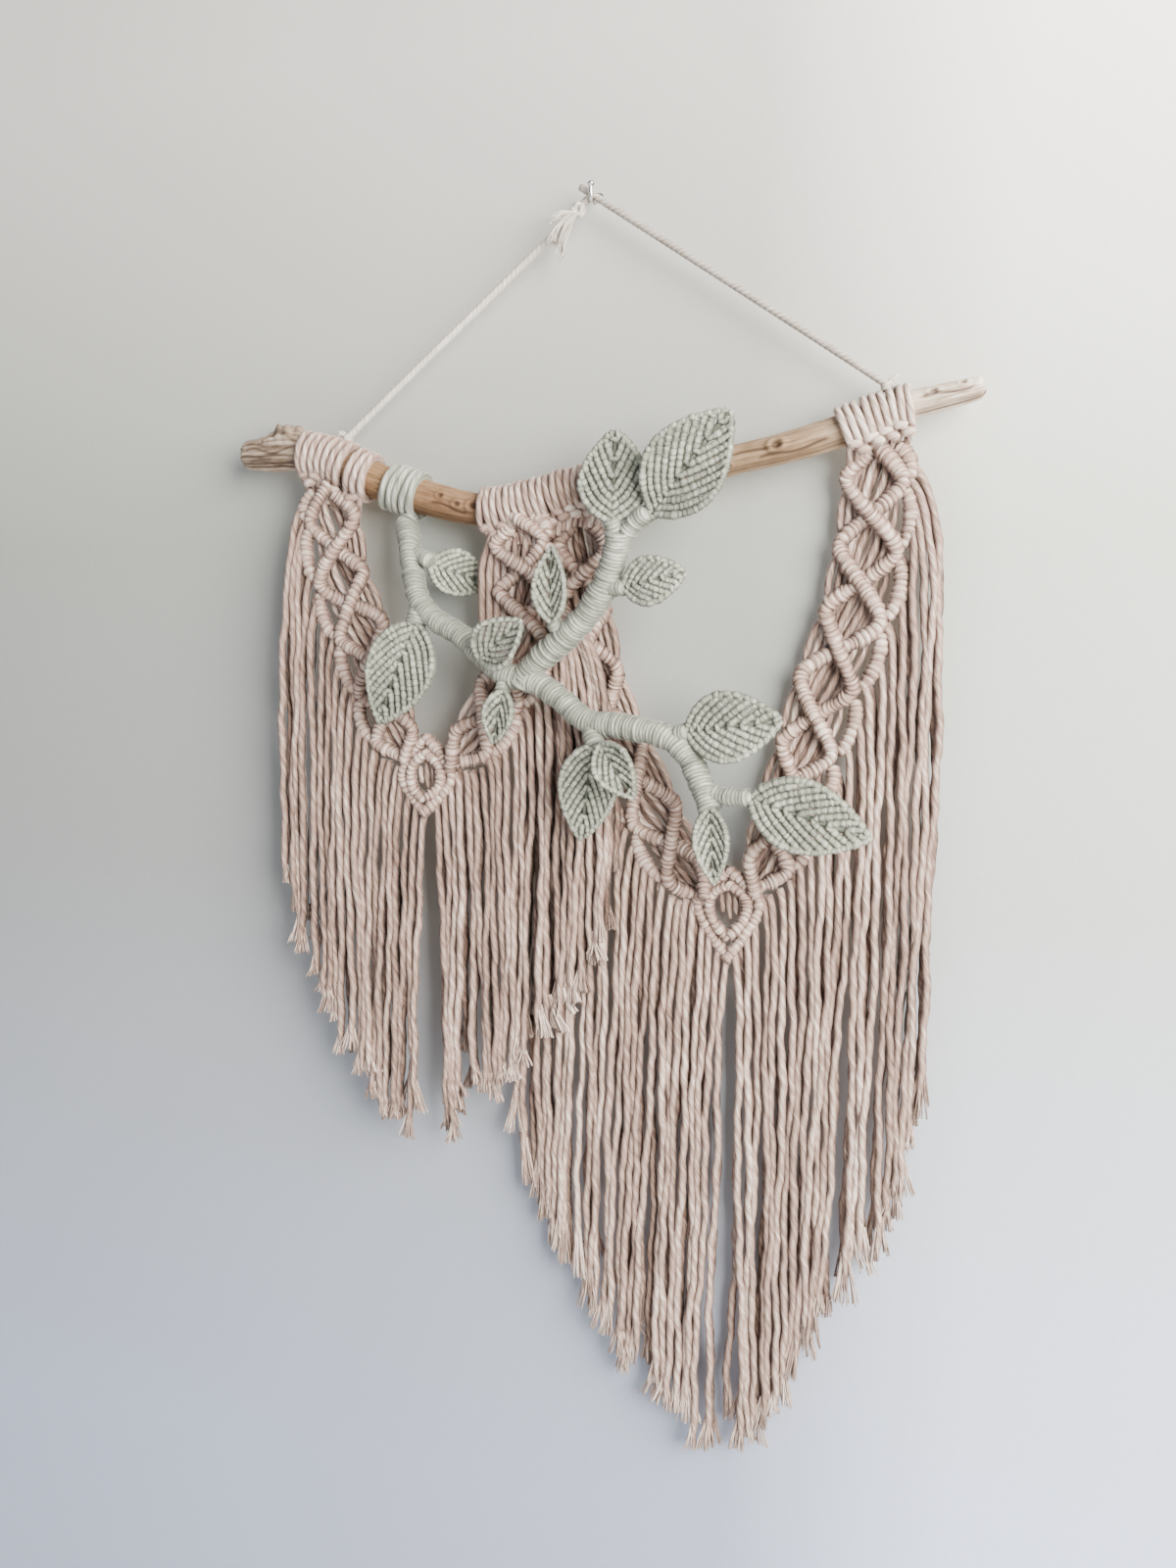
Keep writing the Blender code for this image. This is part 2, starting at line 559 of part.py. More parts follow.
def main():
    clear_scene()
    make_branch()
    for name, first, last in MOUNTING_KNOTS:
        make_winding(name, first, last, COTTON)
    make_winding(*SAGE_WRAPS, SAGE_YARN)
    make_scallop("left", FRONT_NET_Y, LEFT_OUTER, LEFT_INNER, -1, LEFT_DIAMOND, LEFT_HOLES,
                 ((LEFT_OUTER_EDGE, LEFT_OUTER_TIPS), (LEFT_INNER_EDGE, LEFT_INNER_TIPS)))
    make_scallop("right", BACK_NET_Y, RIGHT_OUTER, RIGHT_INNER, 1, RIGHT_DIAMOND, RIGHT_HOLES,
                 ((RIGHT_OUTER_EDGE, RIGHT_OUTER_TIPS), (RIGHT_INNER_EDGE, RIGHT_INNER_TIPS)))
    make_hook()
    make_hanger()
    cutters = make_vine()
    for name, carrier, *shape in LEAVES:
        make_leaf(name, cutters[carrier], *shape)


main()
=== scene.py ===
"""Looks of a macrame wall hanging on a driftwood branch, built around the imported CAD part.

Everything is in metres in the CAD frame: +Z up, the wall at Y = 0, the front towards -Y. Tables
inside metres() are written in millimetres, and shares in them in thousandths. Cords, knotted ribs,
wound stems and leaf rows are rings carried along paths, worked out as whole arrays.
"""

import math

import bpy
import numpy as np
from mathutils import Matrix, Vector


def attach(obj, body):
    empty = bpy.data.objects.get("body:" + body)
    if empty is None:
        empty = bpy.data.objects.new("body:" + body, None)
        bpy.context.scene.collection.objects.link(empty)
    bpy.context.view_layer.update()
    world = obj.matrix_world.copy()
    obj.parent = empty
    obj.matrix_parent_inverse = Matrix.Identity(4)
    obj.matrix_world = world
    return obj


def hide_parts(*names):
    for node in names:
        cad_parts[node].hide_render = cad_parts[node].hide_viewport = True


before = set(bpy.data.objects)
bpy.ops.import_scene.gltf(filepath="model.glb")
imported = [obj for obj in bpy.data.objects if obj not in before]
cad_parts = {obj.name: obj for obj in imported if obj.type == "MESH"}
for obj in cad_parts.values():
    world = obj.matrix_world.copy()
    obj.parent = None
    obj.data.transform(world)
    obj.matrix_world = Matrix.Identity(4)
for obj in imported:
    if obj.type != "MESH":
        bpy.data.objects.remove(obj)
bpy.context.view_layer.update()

bl_info = {
    "name": "Macrame wall hanging",
    "version": (1, 0, 0),
    "blender": (4, 5, 0),
    "location": "3D View > Sidebar > Macrame",
    "description": "Knotted lattice, fringe, wrapped vine and leaves on a driftwood branch",
    "category": "Add Mesh",
}

TO_WALL = np.array([0.0, 1.0, 0.0])
TO_RIGHT = np.array([1.0, 0.0, 0.0])


def metres(table):
    """A table of millimetres and thousandths as one of metres and shares of one; names stay."""
    if isinstance(table, tuple):
        return tuple(metres(entry) for entry in table)
    return table if isinstance(table, str) else table / 1000


# Depths of the branch and of the two scallops' nets.
BRANCH_Y = -0.017
BACK_NET_Y = -0.0095
FRONT_NET_Y = -0.0215

# The branch's centreline: x, z, radius.
BRANCH = metres((
    (-231, -147, 8.8), (-212, -147, 9.7), (-190, -147, 10.2), (-164, -153, 10.5), (-142, -163, 11),
    (-107, -175, 10.5), (-66, -184, 9.5), (-33, -179, 9), (-3, -172, 9.3), (48, -167, 9),
    (90, -158, 8.2), (119, -152, 8.5), (148, -144, 8.8), (168, -136, 8.3), (187, -131, 7.5),
    (207, -127, 6.8), (225, -123, 6.2),
))
GRAIN = 0.0009                          # width of a streak in the wood
GRAIN_LONG = 0.016                      # its length
# Cracks along the grain: first x, last x, angle in degrees, how far it wanders in degrees.
WOOD_CRACKS = (
    (-0.23, -0.208, 30, 9), (-0.227, -0.188, 6, 12), (-0.231, -0.205, -20, 8),
    (-0.224, -0.187, -42, 9), (-0.212, -0.188, 52, 14), (-0.098, -0.072, -16, 8),
    (0.086, 0.111, 8, 4), (0.101, 0.142, -28, 6), (0.19, 0.22, 8, 9),
)
STUB = ((-0.196, BRANCH_Y, -0.142), (-0.1945, BRANCH_Y, -0.13))      # of a broken side twig
# Knots in the bare wood: x, angle round the branch in degrees (0 front, 90 top), size.
WOOD_KNOTS = (
    (-0.0915, 18, 0.0018), (-0.08, 2, 0.0019), (-0.069, 6, 0.003), (-0.213, 40, 0.0014),
    (0.113, 10, 0.003), (0.198, 25, 0.0022), (0.214, 40, 0.0018), (0.085, -30, 0.0014),
)

# Rows of lark's head knots: node, first x, last x, cords, cords before a gap, the gap, depth of the
# net below, where its top begins and ends, and how pale the loops are, made paler on the right row
# as painted light.
KNOT_ROWS = (
    ("mounting_knots_left", -0.187, -0.1385, 10, 7, 0.0025, FRONT_NET_Y, (-0.183, -0.149), 0.2),
    ("mounting_knots_middle", -0.0665, 0.014, 19, 99, 0.0, FRONT_NET_Y, (-0.058, 0.008), 0.1),
    # The right row's loops are made paler, as painted light.
    ("mounting_knots_right", 0.148, 0.187, 9, 99, 0.0, BACK_NET_Y, (0.151, 0.184), 0.9),
)
HITCH_RADIUS = 0.003
TAIL_RADIUS = 0.0021                    # cords that run from the knots down to the nets
SAGE_WINDING = (-0.13, -0.103, 5)       # first x, last x, turns

# Lattice arms, top cell first: x, z, half width towards the fringe, half width away from it.
LEFT_OUTER = metres((
    (-165, -189, 19, 19), (-159, -226, 19, 20), (-145, -259, 19, 19), (-133, -294, 18, 18),
    (-121, -324, 18, 15),
))
LEFT_INNER = metres((
    (-40, -205, 18, 20), (-37, -234, 19, 29), (-39, -264, 19, 24), (-53, -297, 18, 18),
    (-73, -326, 18, 14),
))
RIGHT_INNER = metres((
    (-4, -206, 19, 18), (-4, -244, 19, 20), (6, -285, 19, 18), (23, -326, 19, 18),
    (45, -368, 19, 18), (66, -402, 18, 13),
))
RIGHT_OUTER = metres((
    (167, -171, 20, 19), (164, -209, 21, 19), (157, -247, 21, 19), (144, -286, 21, 19),
    (134, -325, 20, 18), (123, -361, 19, 18), (112, -394, 18, 14),
))
# Double diamonds: top, right, bottom and left corner, x and z.
LEFT_DIAMOND = metres(((-101, -322), (-82, -350), (-103, -375), (-119, -349)))
RIGHT_DIAMOND = metres(((91, -398), (112, -421), (91, -457), (70, -421)))

# Lowest points of the fringe, away from the middle: x, z.
LEFT_OUTER_TIPS = metres((
    (-109, -598), (-121, -594), (-132, -583), (-142, -560), (-153, -555), (-163, -541),
    (-173, -516), (-183, -489), (-192, -471), (-201, -436),
))
LEFT_INNER_TIPS = metres((
    (-88, -596), (-74, -571), (-61, -565), (-48, -556), (-35, -538), (-22, -534), (-9, -511),
    (4, -502), (16, -477), (27, -447),
))
RIGHT_INNER_TIPS = metres((
    (84, -787), (71, -772), (59, -759), (46, -743), (33, -738), (20, -712), (7, -704), (-6, -694),
    (-18, -668), (-30, -640), (-41, -606),
))
RIGHT_OUTER_TIPS = metres((
    (103, -782), (113, -768), (124, -757), (135, -735), (146, -718), (157, -697), (167, -674),
    (177, -654), (187, -636), (197, -604), (206, -560),
))
# Scallop arms: name, cells, fringe side (+1 is +X), diamond, depth, tips, outermost cord's x at the
# bottom, length in which a cord that leaves the knots swings out to its own place, and how many
# cells down the topmost cord leaves.
ARMS = (
    ("left_outer", LEFT_OUTER, -1, LEFT_DIAMOND, FRONT_NET_Y, LEFT_OUTER_TIPS, -0.2035, 0.055, -0.45),
    ("left_inner", LEFT_INNER, 1, LEFT_DIAMOND, FRONT_NET_Y, LEFT_INNER_TIPS, 0.029, 0.036, 1.15),
    ("right_inner", RIGHT_INNER, -1, RIGHT_DIAMOND, BACK_NET_Y, RIGHT_INNER_TIPS, -0.044, 0.1,
     -0.45),
    ("right_outer", RIGHT_OUTER, 1, RIGHT_DIAMOND, BACK_NET_Y, RIGHT_OUTER_TIPS, 0.2115, 0.034,
     -0.45),
)

# The hanging cord and its hook.
HOOK_BEND_Y = -0.014
HOOK_BEND_Z = -0.003
HOOK_BEND_RADIUS = 0.005
HOOK_WIRE = 0.0012                      # radius
HOOK_BALL = 0.0021                      # radius
LEFT_LEG_RADIUS = 0.00235
RIGHT_LEG_RADIUS = 0.00225
KNOT_CORD_RADIUS = 0.0019
KNOT_CENTRE = (-0.0085, -0.0145, -0.0115)
LEFT_SEAT = (-0.158, -0.015)            # x, y where a leg meets the row of knots
RIGHT_SEAT = (0.172, -0.015)

# The vine's stems and twigs: node, radius, route.
STEMS = metres((
    ("vine_stem_main", 7.2, ((-114.6, -18, -190), (-115.4, -19.5, -194.5), (-111, -26, -203),
        (-106, -33, -221), (-100, -36.5, -240), (-89, -37, -252), (-73, -37, -261),
        (-59, -37, -273), (-44, -37, -284), (-24, -37, -289), (-7, -37, -300), (8, -37, -311),
        (32, -37, -314), (56, -37, -319), (69, -37, -330), (77, -37, -346), (83, -37, -361))),
    ("vine_stem_rising", 8, ((-34, -37, -289), (-23, -37, -276), (-9, -37, -264), (6, -37, -249),
        (16, -37, -233), (23, -37, -214), (25, -37, -200))),
    ("vine_twig_crown_left", 4.6, ((24, -37, -206), (22.2, -37.6, -199), (20.3, -38, -193))),
    ("vine_twig_crown_right", 4.8, ((26, -37, -208), (34.5, -37.8, -196), (44, -39.5, -189.5))),
    ("vine_twig_side", 4, ((16.5, -37, -233.5), (23, -38.5, -233.3), (31, -40, -233))),
    ("vine_twig_bud", 4, ((-9, -37.5, -262), (-11.7, -38.8, -257), (-14.3, -40, -252))),
    ("vine_twig_high", 4.2, ((-108.5, -29.5, -210), (-100, -32.5, -213.7), (-92, -34.5, -217))),
    ("vine_twig_broad", 5, ((-99.5, -36.8, -241.5), (-101, -37.5, -249), (-102, -38, -256))),
    ("vine_twig_drooping", 3.8, ((-45.5, -37, -283.5), (-45, -38.5, -289), (-44.5, -40, -295))),
    ("vine_twig_pair", 5, ((7.5, -37, -311), (11, -38.5, -318), (14, -40, -325.5))),
    ("vine_twig_right", 4.4, ((56, -37, -318.5), (63, -38.5, -317), (70, -40, -315))),
    ("vine_twig_low", 4.6, ((79, -37, -350.5), (95, -39, -352.2), (108, -40, -352))),
))

# Leaves: node, base and tip of the midrib, half width, cup (edges forward, in thousandths of the half
# width), bow (middle of the midrib forward), how much wider the leaf is on its right (thousandths).
LEAVES = metres((
    ("leaf_crown_left", (20.3, -37.5, -195), (22, -37, -142), 21.3, 0, 0, 0),
    ("leaf_crown_right", (45.5, -39.3, -190.5), (89.5, -43, -135), 24.5, 200, 5, 30),
    ("leaf_bud", (-14.1, -39.8, -254), (-15, -39, -208), 11, 400, 3, 0),
    ("leaf_broad", (-101, -37.8, -253.5), (-127, -36, -317), 22.5, 100, 4, -100),
    ("leaf_high", (-94.5, -33.7, -218), (-61, -11.5, -230), 14.5, -50, -4, 0),
    ("leaf_tip", (82.6, -37, -359), (86, -36, -405), 11, 350, 2, 0),
    ("leaf_side", (29, -39.6, -233.1), (67, -42, -224), 14.5, 120, 3, 0),
    ("leaf_curled", (-58, -44, -276), (-27.5, -54, -252), 15, 620, 0, 50),
    ("leaf_drooping", (-43.6, -39.4, -293.7), (-51, -36.8, -327), 10.2, 350, 2, 0),
    ("leaf_pair_long", (12.3, -39, -324.5), (4, -35, -384), 18.5, 50, 0, 0),
    ("leaf_pair_folded", (18, -44, -324), (40.5, -50, -355), 12.5, 300, 3, 0),
    ("leaf_right", (68, -39.6, -315.3), (124, -42, -307), 21, 100, 4, 0),
    ("leaf_low", (106, -39.9, -352), (175, -39, -373), 21.5, 100, 4, 0),
))

# The camera: where it stands, and the way it looks, for the photograph's angle.
CAMERA_AT = (0.189574, -0.711657, -0.275277)
CAMERA_TURN = 15.0                      # degrees to the right of straight on
CAMERA_RISE = 6.0                       # degrees above the level
CAMERA_LEAN = 0.9                       # degrees clockwise
CAMERA_LENS = 27.0                      # mm, on a 36 mm long side

YARN_PITCH = 0.0021                     # from turn to turn of the yarn round a stem
LEAF_PITCH = 0.0036                     # from turn to turn of the cord round a leaf's rib
TIP_PITCH = 0.0034                      # and round the rib in its tip

WALL_Y = 0.0006                         # just behind the hook's face
FLOOR_Z = -1.45


# ---------------------------------------------------------------- paths and surfaces

def run_along(lines):
    """Length along each polyline from its start to each of its points."""
    step = np.linalg.norm(np.diff(lines, axis=-2), axis=-1)
    return np.concatenate([np.zeros_like(step[..., :1]), np.cumsum(step, axis=-1)], axis=-1)


def pick(line, run, at):
    """The line's columns at the lengths at, where its points lie at the lengths run."""
    return np.stack([np.interp(at, run, column) for column in line.T], axis=1)


def even(line, count):
    """Points spread evenly by length along a polyline: its columns interpolated at equal steps."""
    line = np.asarray(line, float)
    run = run_along(line)
    return pick(line, run, np.linspace(0.0, run[-1], count))


def smooth(points, count=None, per_span=16):
    """A Catmull-Rom curve through the points: each span's cubic from its four nearest points."""
    p = np.asarray(points, float)
    ends = np.vstack([2 * p[0] - p[1], p, 2 * p[-1] - p[-2]])
    t = np.linspace(0.0, 1.0, per_span, endpoint=False)[:, None, None]
    a, b, c, d = ends[:-3], ends[1:-2], ends[2:-1], ends[3:]
    curve = 0.5 * (2 * b + (c - a) * t + (2 * a - 5 * b + 4 * c - d) * t ** 2
                   + (3 * b - 3 * c + d - a) * t ** 3)
    curve = np.vstack([curve.transpose(1, 0, 2).reshape(-1, p.shape[1]), p[-1:]])
    return curve if count is None else even(curve, count)


def columns(*parts):
    """Numbers and arrays side by side in a last axis, each spread to the shape that fits all."""
    return np.stack(np.broadcast_arrays(*parts), axis=-1)


def jitter(rng, *shape):
    """Random numbers spread evenly from -1 to 1."""
    return rng.uniform(-1, 1, shape or None)


def circle(sides):
    """Angles of a ring's points, evenly round."""
    return 2 * np.pi * np.arange(sides) / sides


def bell(value, middle, width):
    """A bell curve: exp(-d d), where d counts widths from the middle."""
    return np.exp(-((value - middle) / width) ** 2)


def apart(angle, other):
    """One angle less the other, brought between -pi and pi."""
    return np.angle(np.exp(1j * (angle - other)))


def unit(vectors):
    """The vectors at a length of 1."""
    return vectors / (np.linalg.norm(vectors, axis=-1, keepdims=True) + 1e-12)


def square_to(along, up):
    """Unit vectors square to along and up, and others square to along and those."""
    side = unit(np.cross(along, up))
    return side, np.cross(side, along)


def beside(paths, up):
    """At each point of the paths, a unit vector square to the path and up, and one square to both."""
    return square_to(unit(np.gradient(paths, axis=-2)), up)


def rings_round(line, side, lift, reach, angle, flat=1.0):
    """Points round a line: reach cos(angle) to the side and flat reach sin(angle) along the lift."""
    return (line[..., None, :] + (reach * np.cos(angle))[..., None] * side[..., None, :]
            + (reach * flat * np.sin(angle))[..., None] * lift[..., None, :])


def add_object(name, data):
    """A new object of the scene that holds the data."""
    made = bpy.data.objects.new(name, data)
    bpy.context.scene.collection.objects.link(made)
    return made


class Pile:
    """Surfaces gathered for one mesh. Each is rings of points joined by quads, with flat end caps.

    fibre is the place in the yarn in fibre widths. The second attribute is painted shade: 1 on a
    turn's back, and 0 in the groove beside it and on flanks that face the next cord. The third is a
    lightness, mostly from -1 to 1: the cord's own, and for some cords painted shade, and for one row
    of knots painted light.
    """

    def __init__(self):
        self.count = 0
        self.parts = {key: [] for key in ("points", "corners", "sizes", "fibre", "crown", "tone")}

    def add(self, rings, fibre, crown, tone):
        """rings is (paths, stations, sides, 3), or one path's; quads join each ring to the next."""
        rings = rings.reshape(-1, *rings.shape[-3:])
        shape = rings.shape[:3]
        index = self.count + np.arange(rings[..., 0].size).reshape(shape)
        a, b = index[:, :-1], index[:, 1:]
        quads = np.stack([a, b, np.roll(b, -1, 2), np.roll(a, -1, 2)], axis=-1)
        for key, value in (
                ("points", rings), ("fibre", np.broadcast_to(fibre, rings.shape)),
                ("crown", np.broadcast_to(crown, shape)), ("tone", np.broadcast_to(tone, shape)),
                ("corners", quads), ("corners", index[:, 0]), ("corners", index[:, -1, ::-1]),
                ("sizes", np.full(a.size, 4)), ("sizes", np.full(2 * shape[0], shape[2]))):
            self.parts[key].append(value.ravel())
        self.count += index.size

    def make(self, name, material, slot, *nodes):
        """Turn what was gathered into one object that rides on the root and stands for the nodes."""
        parts = {key: np.concatenate(value) for key, value in self.parts.items()}
        starts = np.cumsum(parts["sizes"]) - parts["sizes"]
        mesh = bpy.data.meshes.new(name)
        mesh.vertices.add(self.count)
        mesh.vertices.foreach_set("co", parts["points"].astype(np.float32))
        mesh.loops.add(len(parts["corners"]))
        mesh.loops.foreach_set("vertex_index", parts["corners"].astype(np.int32))
        mesh.polygons.add(len(starts))
        mesh.polygons.foreach_set("loop_start", starts.astype(np.int32))
        mesh.update(calc_edges=True)
        for key, kind, field in (("fibre", "FLOAT_VECTOR", "vector"), ("crown", "FLOAT", "value"),
                                 ("tone", "FLOAT", "value")):
            layer = mesh.attributes.new(key, kind, "POINT")
            layer.data.foreach_set(field, parts[key].astype(np.float32))
        mesh.shade_smooth()
        mesh.materials.append(material)
        piece = add_object(name, mesh)
        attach(piece, "root")
        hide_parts(*nodes)


FIBRE = 0.001           # width of a yarn fibre bundle, drawn coarser than real so that it shows
FIBRE_LONG = 9.0        # how many widths it runs before it fades


def lay_cords(pile, paths, radius, sides=9, up=TO_WALL, twist=0.034, plies=3, groove=0.07,
              tone=0.0, start=0.0, shade=0.92):
    """Twisted cords along paths (cords, stations, 3), all of them at once, or one along one path.

    Each ring is a circle, drawn in by groove between the plies, and turned by 2 pi for each twist
    length along the cord. The colour takes painted shade: darker in the grooves between the plies,
    and darker by shade on the flanks, which face the next cord.
    """
    paths = np.asarray(paths, float)
    paths = paths.reshape(-1, *paths.shape[-2:])
    radius = np.broadcast_to(radius, paths.shape[:2])[..., None]
    side, lift = beside(paths, up)
    run = run_along(paths)[..., None]
    angle = circle(sides)
    turned = angle - 2 * np.pi * run / twist - np.reshape(start, (-1, 1, 1))
    crown = 0.5 + 0.5 * np.cos(plies * turned)
    rings = rings_round(paths, side, lift, radius * (1 - groove * (1 - crown)), angle)
    # Painted shade: darker on the flanks, which face the next cord.
    flank = np.cos(angle) * side[..., :1] + np.sin(angle) * lift[..., :1]
    round_off = np.sqrt(np.clip(1 - flank ** 2, 0, 1))
    crown = (0.7 + 0.3 * crown) * (1 - shade + shade * round_off)
    fibre = columns(radius * np.cos(turned) / FIBRE, radius * np.sin(turned) / FIBRE,
                    run / (FIBRE * FIBRE_LONG))
    shift = 37.0 * np.arange(len(paths)).reshape(-1, 1, 1, 1)     # no two cords show the same fibres
    pile.add(rings, fibre + shift, crown, np.reshape(tone, (-1, 1, 1)))


TURN_PLACES = (0.0, 0.13, 0.36, 0.87)      # where the rings stand within a turn


def wind(pile, path, radius, pitch, rng, groove, uneven, flank, floor, sides=12, slant=0.3,
         up=TO_WALL, flat=1.0):
    """A core wound with turns of cord, along one path.

    The turns' edges lie a pitch apart, made uneven. Within a turn the radius follows a power of a
    sine from the groove up to the turn's back. Each ring leans: its points move along the path by
    slant times the radius times the sine of their angle. Painted shade darkens the colour down to
    floor in the grooves and by flank at the flanks.
    """
    path = np.asarray(path, float)
    steps = run_along(path)
    total = steps[-1]
    turns = max(2, int(total / pitch))
    widths = 1 + uneven * jitter(rng, turns)
    edges = np.concatenate([[0.0], np.cumsum(widths)]) * total / widths.sum()
    phase = np.append((np.arange(turns)[:, None] + TURN_PLACES).ravel(), turns)
    which = np.minimum(phase.astype(int), turns - 1)
    run = np.interp(phase, np.arange(turns + 1), edges)
    thick = np.interp(run / total, np.linspace(0, 1, np.size(radius)), np.ravel(radius))[:, None]
    along = unit(pick(np.gradient(path, axis=0), steps, run))
    side, lift = square_to(along, up)
    angle = circle(sides)
    crown = np.abs(np.sin(np.pi * phase)) ** 0.6
    crown[[0, -1]] = 0.0
    crown = crown[:, None]
    girth = 1 + 0.36 * uneven * jitter(rng, turns)[which, None]
    reach = thick * (1 - groove * (1 - crown)) * girth
    reach[[0, -1]] *= 0.75
    lean = slant * thick * np.sin(angle)
    rings = (rings_round(pick(path, steps, run), side, lift, reach, angle, flat)
             + lean[..., None] * along[:, None])
    around = thick / (FIBRE * 7)
    fibre = columns(run[:, None] / FIBRE, np.cos(angle) * around, np.sin(angle) * around)
    shades = 0.5 * jitter(rng, turns)[which, None]
    # Painted shade: darker in the grooves, down to floor, and by flank at the flanks.
    crown = (floor + (1 - floor) * crown) * (1 - flank * np.cos(angle) ** 4)
    pile.add(rings, fibre + rng.uniform(0, 90), crown, shades)


# ---------------------------------------------------------------- materials

def linear(code):
    """An sRGB hex code as linear red, green, blue and alpha."""
    parts = [int(code[at:at + 2], 16) / 255 for at in (1, 3, 5)]
    return tuple(c / 12.92 if c <= 0.04045 else ((c + 0.055) / 1.055) ** 2.4 for c in parts) + (1.0,)


def node(tree, kind, inputs=None, stops=None, **settings):
    """Add a node: settings are its properties, inputs its sockets' values or links, stops a ramp's."""
    made = tree.nodes.new("ShaderNode" + kind)
    for key, value in settings.items():
        setattr(made, key, value)
    for key, value in (inputs or {}).items():
        if isinstance(value, bpy.types.NodeSocket):
            tree.links.new(value, made.inputs[key])
        else:
            made.inputs[key].default_value = value
    for index, (place, code) in enumerate(stops or ()):
        steps = made.color_ramp.elements
        step = steps[index] if index < 2 else steps.new(place)
        step.position, step.color = place, linear(code)
    return made


def start_material(name, **constants):
    """A new material with a Principled shader whose sockets hold the given constants."""
    material = bpy.data.materials.new(name)
    material.use_nodes = True
    shader = material.node_tree.nodes["Principled BSDF"]
    for key, value in constants.items():
        shader.inputs[key.replace("_", " ")].default_value = value
    return material, material.node_tree, shader


def read(tree, name, socket="Fac"):
    """The piece's own attribute of that name."""
    return node(tree, "Attribute", attribute_name=name).outputs[socket]


def object_place(tree):
    """The place on the object, in metres."""
    return node(tree, "TexCoord").outputs["Object"]


def noise(tree, place, scale, detail, **more):
    """Cloudy noise from 0 to 1 by place."""
    return node(tree, "TexNoise",
                {"Vector": place, "Scale": scale, "Detail": detail, **more}).outputs["Fac"]


def ramp(tree, value, *stops):
    """Colours by value, blended between the stops."""
    return node(tree, "ValToRGB", {"Fac": value}, stops).outputs["Color"]


def way_across(tree, place, axis, low, high):
    """How far the place is along an axis: 0 at low and 1 at high."""
    split = node(tree, "SeparateXYZ", {"Vector": place})
    return node(tree, "MapRange", {"Value": split.outputs[axis], "From Min": low,
                                   "From Max": high}).outputs["Result"]


def mixed_in(tree, value, share, rest=0.0):
    """share times the value, plus the rest."""
    return node(tree, "Math", {0: value, 1: share, 2: rest}, operation="MULTIPLY_ADD").outputs[0]


def darkened(tree, colour, layer, share):
    """The colour multiplied by a layer, as far as the share says."""
    return node(tree, "Mix", {"Factor": share, 6: colour, 7: layer}, data_type="RGBA",
                blend_type="MULTIPLY").outputs[2]


def dress(tree, shader, colour, height, strength, depth):
    """Give the shader its colour, and bumps of that depth from the height."""
    bumps = node(tree, "Bump", {"Strength": strength, "Distance": depth, "Height": height})
    tree.links.new(colour, shader.inputs["Base Color"])
    tree.links.new(bumps.outputs["Normal"], shader.inputs["Normal"])


# Yarns: material, depth of the bumps, sheen, patches to a metre, and colours from the painted
# shade in the grooves to the back of a turn.
YARNS = {
    # Combed and loosely twisted, dyed a pinkish oatmeal: soft and matt, with fine slanted fibres, and
    # warm brown painted shade in the grooves.
    "single_strand_cotton_cord": (0.00045, 0.2, 28.0, (0.4, "#23170F"), (0.58, "#6C554A"),
                                  (0.78, "#A58D80"), (0.97, "#E6D9CE")),
    # Less dyed than the knotted cord: a paler, greyer off-white.
    "three_ply_cotton_twine": (0.0003, 0.2, 40.0, (0.36, "#574F47"), (0.56, "#948C82"),
                               (0.76, "#C2BBB1"), (0.95, "#EEEAE2")),
    # Mercerised and wound close on wire: paler and silkier than the cotton cord.
    "fine_sage_yarn": (0.00035, 0.3, 40.0, (0.36, "#2B2F27"), (0.58, "#60655A"),
                       (0.8, "#8A8D81"), (0.98, "#C7C8BC")),
    # Pulled tight into the leaves' ribs: a little greener and more matt than the stems.
    "sage_cotton_cord": (0.0004, 0.25, 45.0, (0.38, "#1B2018"), (0.56, "#50564A"),
                         (0.76, "#7B8073"), (0.98, "#B7B9AB")),
}


def yarn_material(name):
    """Spun yarn: fibres that run with the twist, painted shade in the grooves, each cord a lightness
    of its own.

    The ramp's position is 0.45 times the painted shade of grooves and flanks + 0.6 fibre noise +
    0.25 patches, moved by the cord's lightness, which holds painted shade for some cords.
    """
    if name in bpy.data.materials:
        return bpy.data.materials[name]
    depth, sheen, patches, *stops = YARNS[name]
    material, tree, shader = start_material(name, Roughness=0.92, Sheen_Weight=sheen,
                                            Sheen_Roughness=0.45)
    place = object_place(tree)
    hairs = noise(tree, read(tree, "fibre", "Vector"), 1.0, 3.0, Roughness=0.65)
    # Painted shade from the grooves and flanks.
    shade = mixed_in(tree, hairs, 0.6, mixed_in(tree, read(tree, "crown"), 0.45))
    shade = mixed_in(tree, noise(tree, place, patches, 3.0), 0.25, shade)
    # The cord's own lightness, with painted shade for cords drawn darker and painted light for the
    # paler right row.
    shade = mixed_in(tree, read(tree, "tone"), 0.1, shade)
    height = mixed_in(tree, noise(tree, place, 1600.0, 2.0), 0.35, hairs)
    dress(tree, shader, ramp(tree, shade, *stops), height, 1.0, depth)
    return material


